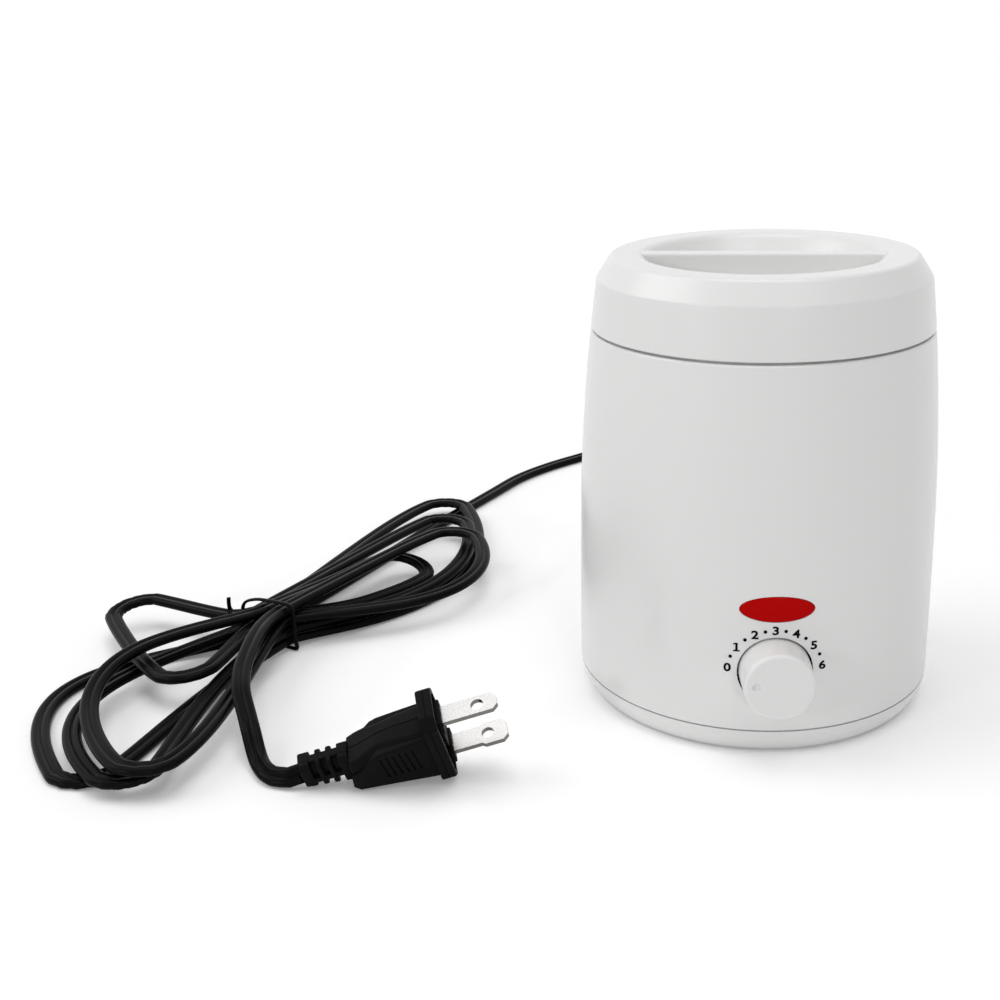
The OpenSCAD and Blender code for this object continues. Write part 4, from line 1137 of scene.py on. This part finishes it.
class WARMER_OT_stage(bpy.types.Operator):
    """Camera, lamps, world and floor"""

    bl_idname = "warmer.stage"
    bl_label = "Stage"

    def execute(self, context):
        self.camera(context)
        self.lamps()
        self.world(context)
        self.floor()
        context.scene.view_settings.view_transform = "Standard"
        return {"FINISHED"}

    def camera(self, context):
        data = bpy.data.cameras.new("camera")
        data.sensor_width = 36.0
        data.lens = CAMERA_LENS
        data.clip_end = 20.0
        place = Matrix.Translation(CAMERA_AT * MM)
        for degrees, axis in CAMERA_TURNS:
            place = place @ Matrix.Rotation(math.radians(degrees), 4, axis)
        camera = in_scene("camera", data)
        camera.matrix_world = place
        context.scene.camera = camera

    def lamps(self):
        for name, heading, height, spread, power in LAMPS:
            data = bpy.data.lights.new(name, "SUN")
            data.angle = math.radians(spread)
            data.energy = power
            towards = Vector((math.cos(math.radians(heading)), math.sin(math.radians(heading)), 0))
            towards *= math.cos(math.radians(height))
            towards.z = math.sin(math.radians(height))
            lamp = in_scene(name, data)
            lamp.location = towards
            lamp.rotation_euler = towards.to_track_quat("Z", "Y").to_euler()

    def world(self, context):
        world = bpy.data.worlds.new("studio")
        context.scene.world = world
        world.use_nodes = True
        tree = world.node_tree
        back = tree.nodes["Background"]
        back.inputs["Color"].default_value = (1.0, 1.0, 1.0, 1.0)
        feed(tree, mapped(tree, seen_rays(tree), WORLD_LIGHT, WORLD_SEEN), back.inputs["Strength"])

    def floor(self):
        h = FLOOR_HALF
        mesh = mesh_from("floor", [(-h, -h, 0), (h, -h, 0), (h, h, 0), (-h, h, 0)], [(0, 1, 2, 3)])
        material, tree, shader = new_material("floor")
        shader.inputs["Base Color"].default_value = (*colours().floor, 1.0)
        shader.inputs["Roughness"].default_value = 0.7
        shader.inputs["Specular IOR Level"].default_value = 0.1
        glow = tree.nodes.new("ShaderNodeEmission")
        feed(tree, mapped(tree, seen_rays(tree), 0.0, FLOOR_GLOW), glow.inputs["Strength"])
        both = tree.nodes.new("ShaderNodeAddShader")
        feed(tree, shader.outputs[0], both.inputs[0])
        feed(tree, glow.outputs[0], both.inputs[1])
        feed(tree, both.outputs[0], tree.nodes["Material Output"].inputs["Surface"])
        new_piece("floor", mesh, material, smooth=False)


class WARMER_OT_plug(bpy.types.Operator):
    """The moulded plug with its grips and ribbed strain relief"""

    bl_idname = "warmer.plug"
    bl_label = "Plug"

    def execute(self, context):
        piece = build_plug()
        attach(piece, "housing")
        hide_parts("plug_body")
        return {"FINISHED"}


class WARMER_OT_tie(bpy.types.Operator):
    """The twist tie round the hank"""

    bl_idname = "warmer.tie"
    bl_label = "Twist tie"

    def execute(self, context):
        piece = build_tie()
        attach(piece, "housing")
        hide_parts("twist_tie")
        return {"FINISHED"}


class WARMER_OT_lead(bpy.types.Operator):
    """The flat lead from the drum, through its tied hank, to the plug"""

    bl_idname = "warmer.lead"
    bl_label = "Lead"

    def execute(self, context):
        piece, points, length = build_lead()
        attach(piece, "housing")
        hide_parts("cord_lead", "cord_hank", "cord_tail")
        exit_y() * MM
        lead().width * MM
        return {"FINISHED"}


class WARMER_OT_dial_scale(bpy.types.Operator):
    """The printed numbers and dots round the dial"""

    bl_idname = "warmer.dial_scale"
    bl_label = "Dial scale"

    def execute(self, context):
        piece = build_scale()
        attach(piece, "housing")
        return {"FINISHED"}


class WARMER_OT_indicator(bpy.types.Operator):
    """The red indicator lens"""

    bl_idname = "warmer.indicator"
    bl_label = "Indicator"

    def execute(self, context):
        piece = build_lens()
        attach(piece, "housing")
        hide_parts("indicator_lens")
        return {"FINISHED"}


class WARMER_OT_finishes(bpy.types.Operator):
    """Finishes of the CAD pieces that keep their shape"""

    bl_idname = "warmer.finishes"
    bl_label = "Finishes"

    def execute(self, context):
        finishes = (
            (white_plastic(), ("lid", "body_shell", "base", "knob", "top_ring")),
            (black_plastic(), ("strain_relief", "twist_tie", "mains_wires")),
            (black_plastic(), ("cord_lead", "cord_hank", "cord_tail")),
            (matt_black_plastic(), ("plug_body",)),
            (plated_blades(), ("plug_blades",)),
            (red_lens(), ("indicator_lens",)),
            (spun_aluminium(), ("wax_pot", "heating_well")),
            (metal("zinc plated steel", (0.62, 0.62, 0.63)), STEEL_NODES),
            (metal("cast heater", (0.4, 0.4, 0.41), 0.5, 0.7), ("heater",)),
            (metal("fuse brass", (0.7, 0.5, 0.2)), ("thermal_fuse",)),
            (moulded("ivory moulding", (0.7, 0.64, 0.5), 0.4, 0.55), IVORY_NODES),
            (moulded("foot rubber", (0.06, 0.06, 0.06), 0.6, 0.8), ("feet",)),
            (moulded("lamp glass", (0.9, 0.5, 0.3), 0.05, 0.1), ("neon_lamp",)),
            (moulded("red insulation", (0.4, 0.02, 0.02), 0.35, 0.5), ("heater_wires",)),
            (moulded("brown insulation", (0.12, 0.05, 0.02), 0.35, 0.5), ("thermostat_wires",)),
            (moulded("grey insulation", (0.15, 0.15, 0.15), 0.35, 0.5), ("lamp_wires",)),
        )
        for material, names in finishes:
            for name in names:
                finish_node(name, material)
        return {"FINISHED"}


class WARMER_PT_panel(bpy.types.Panel):
    """Steps that build the warmer"""

    bl_label = "Wax warmer"
    bl_space_type = "VIEW_3D"
    bl_region_type = "UI"
    bl_category = "Warmer"

    def draw(self, context):
        for step in STEPS:
            self.layout.operator(step.bl_idname)


STEPS = (
    WARMER_OT_stage,
    WARMER_OT_plug,
    WARMER_OT_tie,
    WARMER_OT_lead,
    WARMER_OT_dial_scale,
    WARMER_OT_indicator,
    WARMER_OT_finishes,
)
GROUPS = (
    ("warmer_drum", DrumSizes),
    ("warmer_lead", LeadSizes),
    ("warmer_plug", PlugSizes),
    ("warmer_colours", Colours),
)


def register():
    for name, group in GROUPS:
        bpy.utils.register_class(group)
        setattr(bpy.types.Scene, name, bpy.props.PointerProperty(type=group))
    for cls in (*STEPS, WARMER_PT_panel):
        bpy.utils.register_class(cls)


def unregister():
    for cls in (WARMER_PT_panel, *reversed(STEPS)):
        bpy.utils.unregister_class(cls)
    for name, group in reversed(GROUPS):
        delattr(bpy.types.Scene, name)
        bpy.utils.unregister_class(group)


def main():
    register()
    for step in STEPS:
        group, name = step.bl_idname.split(".")
        getattr(getattr(bpy.ops, group), name)()


if __name__ == "__main__":
    main()
